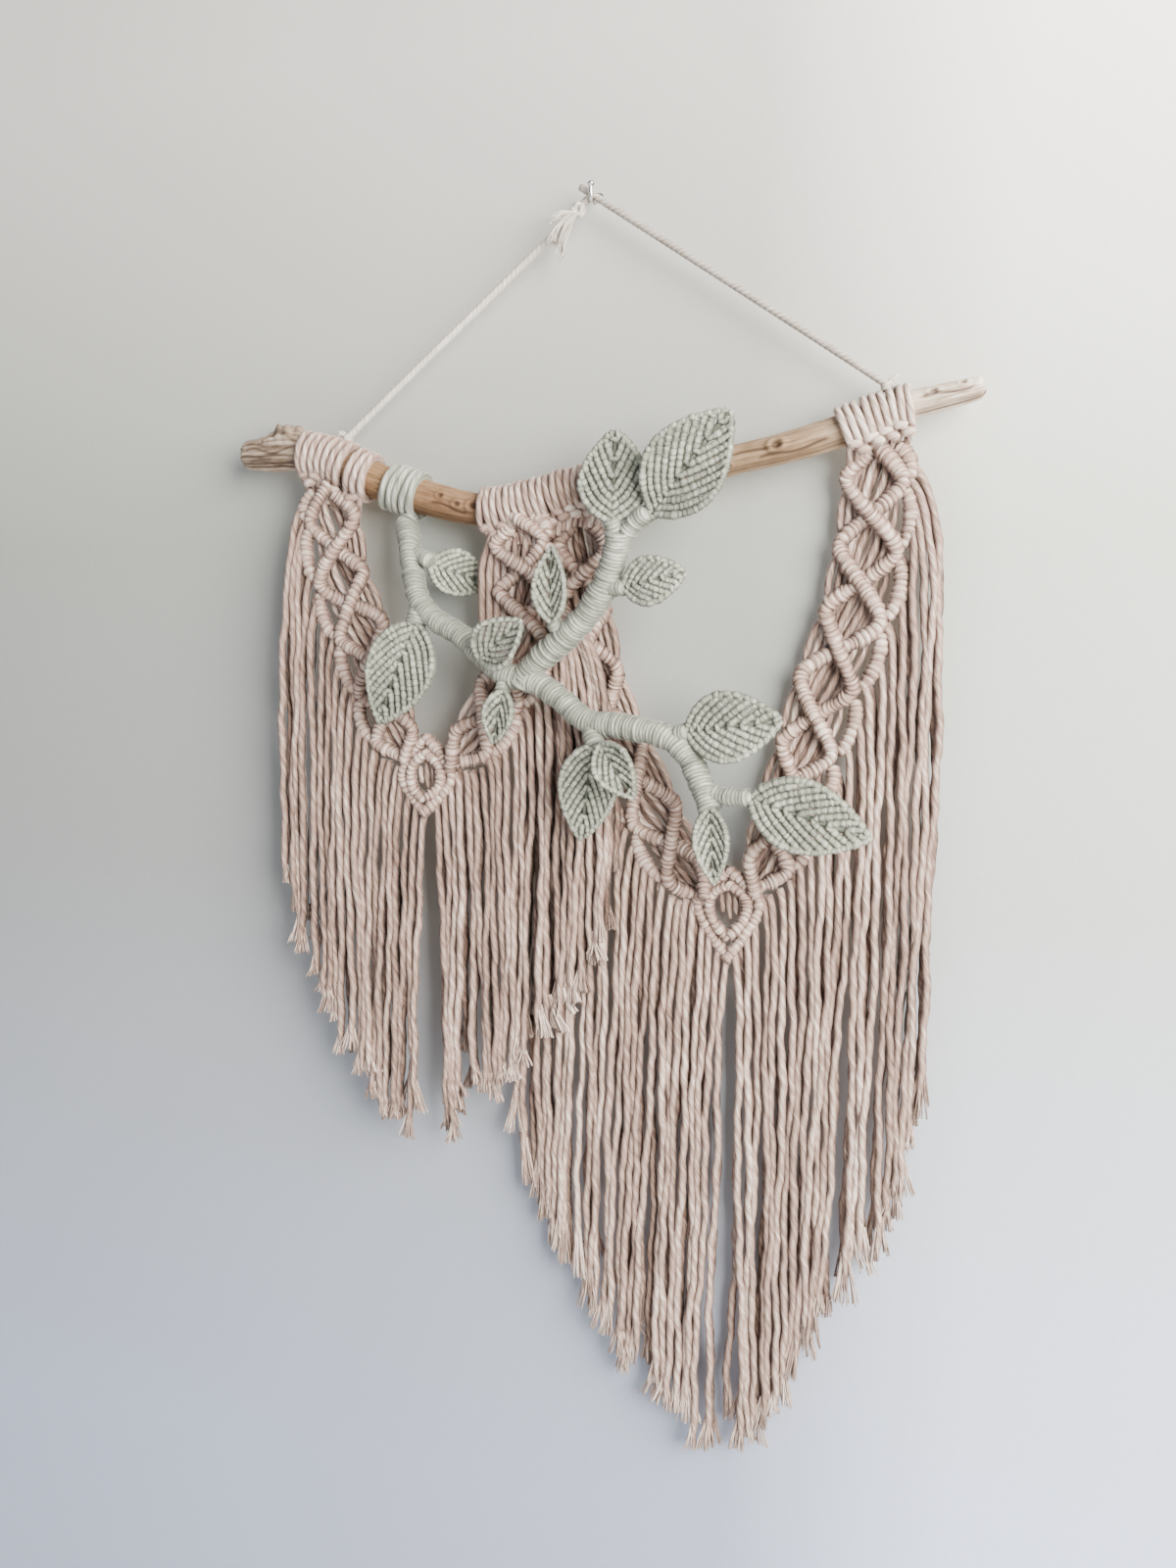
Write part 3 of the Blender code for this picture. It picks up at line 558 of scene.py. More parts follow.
def driftwood_material():
    """Driftwood, bleached and sanded by water: silver grey left end, bare tan middle, pale right end.

    Grain from noise that is 18 times as long along the branch, and dark knots. Its grooves and
    cracks are darkened as painted shade.
    """
    material, tree, shader = start_material("weathered_driftwood", Roughness=0.82)
    place = object_place(tree)
    grain = noise(tree, read(tree, "fibre", "Vector"), 1.0, 5.0, Roughness=0.62, Distortion=0.4)
    colour = ramp(tree, way_across(tree, place, "X", -0.235, 0.23),
                  (0.0, "#AEA194"), (0.09, "#B9AC9E"), (0.2, "#9A7B58"), (0.34, "#917356"),
                  (0.62, "#967F62"), (0.8, "#B39C80"), (0.9, "#E4D8CA"), (1.0, "#EEE5D9"))
    lines = ramp(tree, grain, (0.3, "#7E6C5C"), (0.42, "#CFC9C1"), (0.56, "#F4F1EC"),
                 (0.7, "#FFFFFF"))
    worn = ramp(tree, noise(tree, place, 60.0, 4.0), (0.3, "#C8BBAE"), (0.62, "#FFFFFF"))
    # Painted shade in the grooves and cracks, and the knots' own darker wood.
    hollow_shade_and_knots = ramp(tree, read(tree, "crown"), (0.0, "#5A483C"), (0.45, "#CFC6BC"),
                  (0.8, "#FFFFFF"))
    for layer, share in ((lines, 0.75), (worn, 0.8), (hollow_shade_and_knots, 0.9)):
        colour = darkened(tree, colour, layer, share)
    dress(tree, shader, colour, grain, 0.8, 0.0006)
    return material


def hook_material():
    """Drawn steel wire, bright nickel plated: a mirror with faint handling marks, and painted shade
    at its rim.
    """
    material, tree, shader = start_material("nickel_plated_steel", Metallic=1.0)
    marks = noise(tree, object_place(tree), 900.0, 3.0)
    gloss = node(tree, "MapRange", {"Value": marks, "To Min": 0.14, "To Max": 0.34})
    # Painted shade: the wire's colour is darker at its rim.
    painted_shading = ramp(tree, read(tree, "crown"), (0.3, "#6F706E"), (0.85, "#F0EFEC"))
    tree.links.new(gloss.outputs["Result"], shader.inputs["Roughness"])
    tree.links.new(painted_shading, shader.inputs["Base Color"])
    return material


def wall_material():
    """Emulsion paint on plaster, matt, with painted light: warm and bright at the top, cool below,
    painted shade at mid height, and greyer on its left as painted fall-off of the light.

    It is unseen from behind.
    """
    material, tree, shader = start_material("painted_wall", Roughness=0.9)
    place = object_place(tree)
    # Painted light: warm above, cool below, with painted shade at mid height.
    painted_shading = ramp(tree, way_across(tree, place, "Z", -0.95, 0.15), (0.1, "#CFDDFA"),
                (0.48, "#BDC3C4"), (0.68, "#C3C9C4"), (0.95, "#FDFFFA"))
    # Painted fall-off of the light: greyer to the left.
    shade = ramp(tree, way_across(tree, place, "X", -0.4, 0.4), (0.08, "#C6C6C6"),
                 (0.62, "#C8C8C8"), (0.8, "#FFFFFF"), (0.95, "#FFFFFF"))
    dress(tree, shader, darkened(tree, painted_shading, shade, 1.0), noise(tree, place, 220.0, 3.0), 0.25,
          0.0006)
    mix = node(tree, "MixShader", {0: node(tree, "NewGeometry").outputs["Backfacing"],
                                   1: shader.outputs[0],
                                   2: node(tree, "BsdfTransparent").outputs[0]})
    tree.links.new(mix.outputs[0], tree.nodes["Material Output"].inputs["Surface"])
    return material


# ---------------------------------------------------------------- the branch and what winds it

def branch_at(x):
    """Centre height, radius and slope of the branch at x, from the curve through its table."""
    along, high, thick = smooth(BRANCH).T
    step = 0.003
    slope = (np.interp(x + step, along, high) - np.interp(x - step, along, high)) / (2 * step)
    return np.interp(x, along, high), np.interp(x, along, thick), slope


def around_branch(x, psi, lift):
    """Points round the branch: psi is 0 in front, 90 degrees on top, lift stands off the wood."""
    z, radius, slope = branch_at(x)
    lean = np.arctan(slope)
    reach = radius + lift
    up = reach * np.sin(psi)
    return columns(x - up * np.sin(lean), BRANCH_Y - reach * np.cos(psi), z + up * np.cos(lean))


def carve_branch(material):
    """The branch: rings along its centreline, their radius drawn in by long grooves that wander.

    Grooves are cosines of the angle whose phase drifts along the branch, deepest at the weathered
    ends. A knot is a raised ring with a pit, by distance on the surface, and a crack is a narrow
    trough whose angle wanders as a sine. A spur swells on top, a bell in both directions, where the
    side twig broke off.
    """
    rng = np.random.default_rng(3)
    rows = even(smooth(BRANCH), 520)
    path = columns(rows[:, 0], BRANCH_Y, rows[:, 1])
    x, radius = rows[:, 0][:, None], rows[:, 2][:, None]
    sides = 80
    angle = circle(sides)
    worn = np.clip((-0.18 - x) / 0.015, 0, 1) + 0.6 * np.clip((x - 0.185) / 0.02, 0, 1)
    wobble = np.zeros((len(rows), sides))
    for ridges, share in ((2, 0.018), (3, 0.012), (5, 0.006), (9, 0.005), (14, 0.006), (21, 0.006)):
        drift = np.cumsum(rng.normal(0, 0.01 * ridges ** 0.7, len(rows)))[:, None]
        drift = drift + 0.45 * worn * np.sin(x / 0.005 + ridges)
        wave = np.cos(ridges * angle + drift + rng.uniform(0, 6.28))
        wobble += share * (1 + worn * (1.7 if ridges < 9 else 4.5)) * wave
    spokes = rings_round(np.zeros(3), *beside(path, TO_WALL), 1.0, angle)
    psi = np.arctan2(spokes[..., 2], -spokes[..., 1])
    pits = np.zeros_like(wobble)
    # Painted shade: darker where the grooves draw the wood in.
    crown = np.clip(0.76 + wobble / (0.07 + 0.02 * worn), 0, 1)
    for knot_x, degrees, size in WOOD_KNOTS:
        across = radius * apart(psi, math.radians(degrees))
        away = np.hypot((x - knot_x) / 1.3, across) / size
        pits += 0.35 * size * bell(away, 1.15, 0.45) - 0.45 * size * bell(away, 0, 0.6)
        crown = crown * (1 - 0.95 * bell(away, 0.4, 0.42) - 0.12 * bell(away, 1.6, 0.3))
    for begin, finish, degrees, wander in WOOD_CRACKS:
        bent = np.radians(degrees + wander * np.sin((x - begin) / 0.0048))
        crack = (np.clip(np.minimum(x - begin, finish - x) / 0.003, 0, 1)
                 * bell(radius * apart(psi, bent), 0, 0.00095))
        pits -= 0.0006 * crack
        # Painted shade in the crack.
        crown = crown * (1 - 0.97 * crack)
    above = apart(psi, 0.5 * np.pi)
    spur = (0.0075 * np.exp(-((x + 0.1985) / 0.0125) ** 2 - (above / 0.75) ** 2)
            * (1 + 0.15 * np.sin(x / 0.001 + 3 * psi) + 0.15 * np.sin(x / 0.0023 + 6 * psi)))
    crown = crown * (1 - 75 * np.maximum(spur, 0))
    end = np.minimum(x - x[0], x[-1] - x)
    ragged = 1 - 0.45 * np.exp(-end / 0.0008) - 0.12 * np.exp(-end / 0.004)
    reach = (radius * (1 + wobble) + pits + spur) * ragged
    shift = np.zeros((len(rows), sides, 3))
    shift[..., 0] = -np.exp(-end / 0.003) * np.sign(x) * 0.0028 * rng.uniform(0, 1, sides)
    rings = path[:, None] + reach[..., None] * spokes + shift
    fibre = columns(radius * np.cos(angle) / GRAIN, radius * np.sin(angle) / GRAIN, x / GRAIN_LONG)
    pile = Pile()
    pile.add(rings, fibre, np.clip(crown, 0, 1), 0.0)
    stub = even(np.array(STUB), 18)
    share = np.linspace(0, 1, 18)[:, None]
    stub = stub + (0.0034, -0.001, 0.0) * share ** 2
    thick = 0.0046 * np.interp(share, (0, 0.5, 0.8, 0.93, 1), (1.35, 0.9, 0.7, 0.6, 0.2))
    turn = angle[::3]
    lumps = 1 + 0.22 * np.cos(3 * turn + 4 * share) + 0.12 * np.cos(7 * turn - 6 * share)
    twig = rings_round(stub, *beside(stub, TO_WALL), thick * lumps, turn)
    grain = columns(np.cos(turn) * 4, np.sin(turn) * 4, stub[:, 2:] / 0.008)
    # Painted shade: darker where the stub's lumps draw in.
    pile.add(twig, grain, np.clip(0.42 + (lumps - 1) * 2, 0, 1), 0.0)
    pile.make("branch_of_driftwood", material, "driftwood", "driftwood_branch")


def knot_row(node_name, first, last, cords, gap_after, gap, net_y, net_x, pale, material):
    """A row of lark's heads: loops over the branch, a plump half hitch under each pair, and tails.

    A loop is an arc round the branch at its own x. A hitch is a short thick cord across two loops,
    its radius the root of 1 less the cube of the way from its middle. Tails run on parabolas from
    the loops down to the net's depth. pale is the loops' lightness, and holds painted light for a
    row made paler.
    """
    rng = np.random.default_rng(len(node_name) * 7 + cords)
    pile = Pile()
    pitch = (last - first - gap) / cords
    radius = pitch * 0.55
    x = first + pitch * (np.arange(cords) + 0.5) + gap * (np.arange(cords) >= gap_after)
    psi = np.radians(np.linspace(-88, 262, 46))
    sway = pitch * 0.24 * jitter(rng, cords, 1) * np.sin(psi * 0.8)
    loops = around_branch(x[:, None] + sway, psi, radius * rng.uniform(0.9, 1.1, (cords, 1)))
    lay_cords(pile, loops, radius * rng.uniform(0.93, 1.05, (cords, 1)), sides=10, up=TO_RIGHT,
              twist=0.03, groove=0.06, tone=pale + 0.4 * jitter(rng, cords),
              start=rng.uniform(0, 6, cords), shade=0.72)
    along = np.linspace(-1, 1, 13)
    swell = np.maximum(1 - np.abs(along) ** 3, 0.04) ** 0.5
    for index in range(cords - 1):
        if index == gap_after - 1:
            continue
        lower = index % 2
        centre = np.array([(x[index] + x[index + 1]) / 2])
        middle = around_branch(centre, math.radians(-58 + rng.uniform(-5, 5)), radius * 1.5)
        reach = pitch * rng.uniform(0.82, 0.98)
        bar = middle + along[:, None] * (reach, 0.0, reach * rng.uniform(-0.35, 0.35))
        bar = bar + (0.0, 0.0008 * (1 + lower), -0.0005 - 0.0042 * lower)
        bar[:, 1] += 0.0012 * along ** 2
        lay_cords(pile, bar, HITCH_RADIUS * swell * rng.uniform(0.92, 1.06), sides=12,
                  up=(0.0, 0.3, 1.0), twist=0.02, tone=jitter(rng))
    z, wood, _ = branch_at(x)
    top = around_branch(x, math.radians(-60), radius)
    foot_x = net_x[0] + (net_x[1] - net_x[0]) * (x - first) / (last - first)
    foot = columns(foot_x + rng.uniform(-0.001, 0.001, cords), net_y + 0.003,
                   z - wood - 0.013 - rng.uniform(0, 0.004, cords))
    mid = 0.5 * (top + foot) + (0.0, 0.001, 0.0)
    t = np.linspace(0, 1, 12)[:, None]
    tails = (1 - t) ** 2 * top[:, None] + 2 * t * (1 - t) * mid[:, None] + t ** 2 * foot[:, None]
    lay_cords(pile, tails, TAIL_RADIUS, sides=8, tone=jitter(rng, cords),
              start=rng.uniform(0, 6, cords))
    pile.make("larks_heads_" + node_name.split("_")[-1], material, "cotton_cord", node_name)


def wind_sage(material):
    """Five turns of soft sage cord round the branch: one helix, a pitch along for each turn."""
    first, last, turns = SAGE_WINDING
    pitch = (last - first) / turns
    psi = np.linspace(-0.6 * np.pi, (2 * turns - 0.6) * np.pi, 46 * turns)
    x = first + pitch * 0.5 + (last - first - pitch) * np.linspace(0, 1, len(psi))
    x += 0.0004 * np.sin(psi * 0.37)
    pile = Pile()
    lay_cords(pile, around_branch(x, psi, pitch * 0.36), pitch * 0.5, sides=12, up=TO_RIGHT,
              twist=0.05, plies=2, groove=0.1, tone=0.6)
    pile.make("sage_turns", material, "sage_yarn", "sage_wraps")


# ---------------------------------------------------------------- lattice and fringe

RIB_RADIUS = 0.0048
RIB_PITCH = 0.0032
RIB_INSET = 0.0041      # from the net's edge to a rib's middle
CHAIN_RADIUS = 0.0049
CHAIN_PITCH = 0.0037
FILLER_RADIUS = 0.0023
SLACK_RADIUS = 0.0021   # the cords inside a double diamond
RIBS_WITHIN = 0.0195    # ribs stay this near the centreline on the side away from the fringe
WIDE_CELL = 0.0215      # a cell wider than this on that side has long slack cords over its notches

# Sways of a fringe cord across, and forward and back: how far, over what length, and which of its
# own stretches and phases it takes.
SWAYS = ((0.0011, 0.03, 0, 0), (0.00055, 0.0085, 1, 1), (0.0003, 0.0034, 2, 3))
NODS = ((0.0009, 0.035, 2, 2), (0.0004, 0.01, 3, 3))


class Arm:
    """A lattice arm's own coordinates: t counts cells down it, q runs towards the fringe."""

    def __init__(self, cells, outer, depth):
        self.cells, self.outer, self.depth = len(cells), outer, depth
        self.table = table = np.array(cells, float)
        before, after = 2 * table[0] - table[1], 2 * table[-1] - table[-2]
        before[2:], after[2:] = table[0, 2:], table[-1, 2:]
        self.rows = smooth(np.vstack([before, table, after]), per_span=24)
        self.t = np.linspace(-1, len(cells), len(self.rows))

    def column(self, t, index):
        """A column of the cells' table, smoothed, at t."""
        return np.interp(t, self.t, self.rows[:, index])

    def widths(self, t):
        """Distance of the ribs' corners from the centreline, on the fringe side and the other."""
        return self.column(t, 2) - RIB_INSET, np.minimum(self.column(t, 3), RIBS_WITHIN) - RIB_INSET

    def place(self, t, q, front=0.0):
        """The point at t along and q across, brought forward from the net's middle."""
        t = np.asarray(t)
        way_x, way_z = (self.column(t + 0.12, index) - self.column(t - 0.12, index)
                        for index in (0, 1))
        norm = np.hypot(way_x, way_z)
        return columns(self.column(t, 0) - way_z / norm * q * self.outer, self.depth - front,
                       self.column(t, 1) + way_x / norm * q * self.outer)


def swing(t):
    """A rounded zigzag between 1 at each whole t and -1 half way: the arcsine of a near cosine."""
    return np.arcsin(0.9 * np.cos(np.pi * t)) / np.arcsin(0.9)


def knot_lattice(pile, arm, rng):
    """An arm's ribs, filler cords, slack loops and chain of half hitches.

    Two ribs zigzag in antiphase and cross between the cells, the one that runs to the fringe in
    front. Fillers are slack cords inside each diamond, and the deeper ones are drawn darker as
    painted shade. Loops stand in the notches away from the fringe, and two fillers and the chain in
    those on the fringe side. Where cells are wide, four long slack cords bridge their notches.
    """
    last = arm.cells - 0.5
    t = np.linspace(-0.55, last + 0.02, 60 * arm.cells)
    fringe, inner = arm.widths(t)
    for way in (1, -1):
        wave = way * swing(t)
        q = np.where(wave > 0, fringe, inner) * wave
        rising = -way * np.sin(np.pi * t)          # > 0 where this rib runs towards the fringe
        front = 0.0021 * np.sign(rising) * np.abs(rising) ** 1.5
        q = q + 0.0009 * np.interp(t, np.arange(-1, arm.cells + 1), jitter(rng, arm.cells + 2))
        wind(pile, arm.place(t, q, front + 0.0016), RIB_RADIUS, RIB_PITCH, rng, groove=0.17,
             slant=0.5 * way, flat=0.84, uneven=0.4, flank=0.84, floor=0.5)
    cords = []          # t and q at its points, how far back it lies, its girth
    for cell in range(arm.cells):
        fringe, inner = arm.widths(cell)
        for middle, lean, back in ((-0.58, 0.1, 0.0018), (-0.2, 0.17, 0.0024),
                                   (0.18, 0.17, 0.002), (0.56, 0.12, 0.0028),
                                   (-0.4, 0.05, 0.0042), (0.0, 0.3, 0.0044),
                                   (0.37, 0.06, 0.0044)):
            middle += rng.uniform(-0.06, 0.06)
            bow = 0.06 * np.sign(middle) + rng.uniform(-0.04, 0.04)
            q = middle + lean * np.array([1.0, 0.4, -0.4, -1.0])
            q = q + bow * np.array([-1, 1, 1, -1])
            q = np.where(q > 0, q * fringe, q * inner)
            half = 0.5 * (1 - 0.9 * abs(middle)) + 0.03
            steps = cell + np.array([-1.0, -0.35, 0.35, 1.0]) * half
            cords.append((steps, q, back + rng.uniform(-0.0005, 0.0005), 1.0))
    for notch in range(arm.cells - 1):
        fringe, inner = arm.widths(notch + 0.5)
        for reach, start, first, back in ((inner + 0.0018, 0.92, 0.08, 0.001),
                                          (inner - 0.0028, 0.78, 0.15, 0.0018),
                                          (inner * 0.52, 0.46, 0.24, 0.003)):
            steps = notch + np.array([first, 0.34, 0.66, 1 - first])
            q = np.array([inner * start, reach, reach, inner * start])
            cords.append((steps, -q * rng.uniform(0.97, 1.03), back, 0.95))
        for share, first in ((0.8, 0.26), (0.48, 0.38)):
            steps = notch + np.array([first, 0.42, 0.6, 1.02 - first])
            cords.append((steps, fringe * np.array([share, share + 0.04, share, share - 0.05]),
                          0.0024, 0.85))
    wide = np.flatnonzero(arm.table[:, 3] > WIDE_CELL)
    if len(wide):
        for slack in range(4):
            steps = np.linspace(max(wide[0] - 1.3 + 0.07 * slack, -0.45), wide[-1] + 0.75, 6)
            full = arm.table[wide, 3].max() - 0.0016 - 0.0046 * slack
            q = full * np.array([0.62, 0.93, 1.0, 1.0, 0.9, 0.66])
            cords.append((steps, -q, -0.0006 + 0.0007 * slack, 1.1))
    paths = np.stack([smooth(arm.place(steps, q, -back), 18) for steps, q, back, _ in cords])
    deep, girth = (np.array([cord[index] for cord in cords]) for index in (2, 3))
    swell = 0.8 + 0.26 * np.sin(np.linspace(0.15, np.pi - 0.15, 18))
    # Painted shade: a filler is drawn darker the deeper it lies.
    tones = jitter(rng, len(cords)) - 700 * np.maximum(deep - 0.003, 0)
    lay_cords(pile, paths, FILLER_RADIUS * girth[:, None] * swell, sides=8, twist=0.03, groove=0.08,
              tone=tones - 0.2, start=rng.uniform(0, 6, len(cords)))
    for notch in range(-1, arm.cells - 1):
        first = max(notch + 0.14, -0.5)
        t = np.linspace(first, notch + 0.93, 12)
        share = (t - first) / (t[-1] - first)
        out = arm.widths(t)[0] + 0.0024 + 0.0042 * np.sin(np.pi * share) ** 0.6
        if notch < 0:
            out -= 0.007 * (1 - share)
        thick = CHAIN_RADIUS * np.interp(share, (0, 0.15, 0.75, 1), (0.82, 1, 1, 0.68))
        wind(pile, arm.place(t, out, 0.0004), thick, CHAIN_PITCH, rng, groove=0.19, flat=0.8,
             uneven=0.36, flank=0.75, floor=0.56)


def knot_diamond(pile, corners, depth, rng):
    """A double diamond: two nested rings of ribs round slack cords, the lower right rib in front.

    Each ring runs top, side, bottom through the corners, drawn in to its inset's share of the way
    from the middle, and bulges a little between them.
    """
    top, right, bottom, left = (np.array(corner) for corner in corners)
    middle = (top + right + bottom + left) / 4
    middle[1] = (left[1] + right[1]) / 2 - 0.001
    for inset, radius, front in ((0.9, 0.004, 0.0004), (0.55, 0.0038, 0.0018)):
        for corner, way in ((right, 1), (left, -1)):
            high, wide, low = (middle + (p - middle) * inset for p in (top, corner, bottom))
            if inset > 0.8 and way > 0:
                low = low + (low - wide) * 0.1
            bulge = 0.0016 if inset > 0.8 else 0.0022
            bend = [high, high * 0.45 + wide * 0.55 + bulge * np.array([way, 0.8]), wide,
                    low * 0.45 + wide * 0.55 + bulge * np.array([way, -0.8]), low]
            flat = smooth(np.array(bend), 60)
            ahead = front + 0.0014 * (way > 0) * np.linspace(0, 1, 60) ** 3
            path = columns(flat[:, 0], depth - ahead, flat[:, 1])
            wind(pile, path, radius, RIB_PITCH, rng, groove=0.16, slant=0.5 * way, uneven=0.34,
                 flank=0.82, floor=0.54)
    size = abs(top[1] - bottom[1])
    for shift, half in ((-0.0042, 0.1), (0.0, 0.17), (0.0042, 0.12)):
        z = middle[1] + 0.0015 + size * half * np.array([1.0, 0.3, -0.3, -1.0])
        x = middle[0] + shift + np.array([-0.0004, 0.0, 0.0004, 0.0012])
        path = smooth(columns(x, depth + 0.0008, z), 14)
        swell = 0.6 + 0.45 * np.sin(np.linspace(0.1, np.pi - 0.1, 14))
        lay_cords(pile, path, SLACK_RADIUS * swell, sides=8, tone=jitter(rng))


def hang_fringe(pile, arm, corners, tips, last_x, swing_out, top, rng, sizes):
    """The cords of one comb: each leaves the knots sideways and settles into its own fall.

    A cord starts where the knots' edge stands 3 mm inside its fall, and those that fall outside the
    whole edge start at its top. Across, its offset from the fall decays as exp(-drop / swing_out),
    less a short second term that tucks its start behind the knots. Sines of three lengths sway it,
    and cords draw together in small groups. A second, sparser layer hangs behind, drawn darker as
    painted shade. The front scallop's cords are drawn a shade darker too, as painted shade, and its
    ends are frayed less far. Beside the diamond the cords start higher, straight down from behind it.
    """
    _, right, bottom, left = (np.array(corner) for corner in corners)
    outer = arm.outer
    side = right if outer > 0 else left
    in_front = arm.depth == FRONT_NET_Y
    edge_t = np.linspace(arm.cells - 0.6, top, 60)
    edge = arm.place(edge_t, arm.widths(edge_t)[0] + 0.0075)[:, [0, 2]]
    edge = np.vstack([bottom + (0.001 * outer, 0.003), side * 0.5 + bottom * 0.5, side, edge])
    place = np.arange(len(edge))
    reach = np.maximum.accumulate(edge[:, 0] * outer) + place * 1e-6
    knots = reach + 0.003
    knots[-9:] = np.linspace(knots[-9], max(last_x * outer, knots[-9] + 0.001), 9)
    first_x = tips[0][0] - outer * 0.0055
    tip_table = np.array(tips)[np.argsort(np.array(tips)[:, 0])]
    # Each layer's lightness: the back layer is drawn darker as painted shade.
    for layer, (spacing, front, layer_shade) in enumerate(((sizes.fringe_pitch, 0.0021, -0.05),
                                                       (sizes.fringe_pitch * 1.6, -0.0021, -1.4))):
        count = int(abs(last_x - first_x) / spacing)
        share = (np.arange(count) + 0.5 + 0.15 * jitter(rng, count)) / count
        fall_x = first_x + (last_x - first_x) * share
        where = np.interp(fall_x * outer, knots, place)
        start_x = np.interp(where, place, edge[:, 0])
        near = np.exp(-((where - 6.0) / 5.0) ** 4)      # 1 beside the diamond, 0 along the arm
        start_z = (np.interp(where, place, edge[:, 1]) + 0.0015 * jitter(rng, count)
                   + 0.006 * near)
        group = np.cumsum(rng.uniform(0, 1, count) < 0.36)
        middles = np.bincount(group, fall_x) / np.bincount(group).clip(1)
        together = 0.26 * (middles[group] - fall_x)[:, None]
        lean = (0.0022 * rng.normal(0, 1, group.max() + 1)[group]
                + 0.001 * rng.normal(0, 1, count))[:, None]
        end_z = np.interp(fall_x, tip_table[:, 0], tip_table[:, 1])
        end_z = (end_z + np.abs(rng.normal(0, 0.007, group.max() + 1))[group]
                 + np.abs(rng.normal(0, 0.009, count)) + layer * rng.uniform(0, 0.025, count))
        drop_all = start_z - end_z
        stations = int(110 * drop_all.max() / 0.5) + 20
        share_down = np.linspace(0, 1, stations)
        drop = drop_all[:, None] * share_down
        offset = (start_x - fall_x)[:, None] * np.exp(-drop / swing_out)
        tuck = -outer * 0.004 * (1 - 0.6 * near)[:, None] * np.exp(-drop / 0.005)
        ramp = np.clip(drop / 0.05, 0, 1)
        phase = rng.uniform(0, 2 * np.pi, (4, count, 1))
        wave = rng.uniform(0.8, 1.3, (4, count, 1))
        sway, nod = (sum(size * np.sin(drop / long * wave[stretch] + phase[shift])
                         for size, long, stretch, shift in table) * ramp for table in (SWAYS, NODS))
        x = fall_x[:, None] + offset + tuck + sway + (together + lean) * share_down ** 1.3
        y = arm.depth - front * np.clip(drop / 0.02, 0.1, 1) + nod
        paths = columns(x, y, start_z[:, None] - drop)
        fray = rng.uniform(0.017, 0.034, count)[:, None] * (0.65 if in_front else 1.0)
        opened = np.clip(1 - (drop_all[:, None] - drop) / fray, 0, 1)
        radius = sizes.fringe_radius * rng.uniform(0.9, 1.08, (count, 1))
        radius = radius * (1 + 0.06 * np.sin(drop / 0.006 + phase[0]))
        radius = radius * (1 - 0.9 * np.clip(1.2 * opened, 0, 1) ** 1.5)
        # Painted shade: the front scallop's cords are drawn darker.
        tone = layer_shade + 0.6 * jitter(rng, count) - 0.35 * in_front
        lay_cords(pile, paths, radius, twist=0.03, tone=tone, shade=0.97,
                  start=rng.uniform(0, 6, count))
        fray_ends(pile, paths, fray[:, 0], drop_all, sizes, tone, rng)


def fray_ends(pile, paths, fray, lengths, sizes, tone, rng):
    """Opened cord ends: thin strands that fan out from where the cord opens to a slanted cut.

    Strands draw together in fours. Their distance from the cord's axis grows from a quarter of the
    whole with the 1.25th power of the way down.
    """
    count, stations = paths.shape[:2]
    strands, steps = sizes.fray_strands, 6
    at = np.clip(((lengths - fray) / lengths * (stations - 1)).astype(int), 1, stations - 3)
    start = paths[np.arange(count), at][:, None, None]
    way = paths[:, -1] - paths[np.arange(count), at]
    way = (way / np.linalg.norm(way, axis=1, keepdims=True))[:, None, None]
    u = np.linspace(0, 1, steps)[:, None]
    shape = (count, strands, 1, 1)
    half = rng.uniform(0.0058, 0.01, (count, 1, 1, 1))
    swing_x = 0.35 * half * jitter(rng, count, 1, 1, 1)
    across, deep = (np.repeat(jitter(rng, count, strands // 4), 4, axis=1) for _ in range(2))
    across = 0.6 * across + 0.4 * np.linspace(-1, 1, strands) + 0.15 * rng.normal(0, 1, across.shape)
    deep = 0.8 * deep + 0.2 * rng.normal(0, 1, deep.shape)
    across, deep = across.reshape(shape), deep.reshape(shape)
    grow = 0.24 + 0.76 * u ** 1.25
    kink = 0.0006 * np.sin(u * rng.uniform(2, 7, shape) + rng.uniform(0, 6, shape)) * u
    cut = rng.uniform(-0.35, 0.35, (count, 1, 1, 1)) * across * half
    ends = fray.reshape(-1, 1, 1, 1) * rng.uniform(0.95, 1.04, shape) + cut
    out = np.concatenate([(half * across + swing_x) * grow + kink,
                          0.4 * half * deep * grow + 0.5 * kink, np.zeros_like(kink)], axis=-1)
    lines = (start + way * ends * u + out).reshape(-1, steps, 3)
    thin = sizes.fray_radius * rng.uniform(0.8, 1.25, (len(lines), 1)) * np.linspace(1.3, 0.85, steps)
    lay_cords(pile, lines, thin, sides=4, twist=0.02, groove=0.0,
              tone=np.repeat(tone + 1.1, strands) + 0.9 * jitter(rng, len(lines)))


# ---------------------------------------------------------------- the vine

def leaf_width(along):
    """Half width of a leaf as a share of its widest, from the base (0) to the tip (1)."""
    along = np.clip(along, 0, 1)
    return np.maximum(np.sin(np.pi * along ** 0.8) ** 0.8, 0.16 * (1 - along) + 0.07 * along)


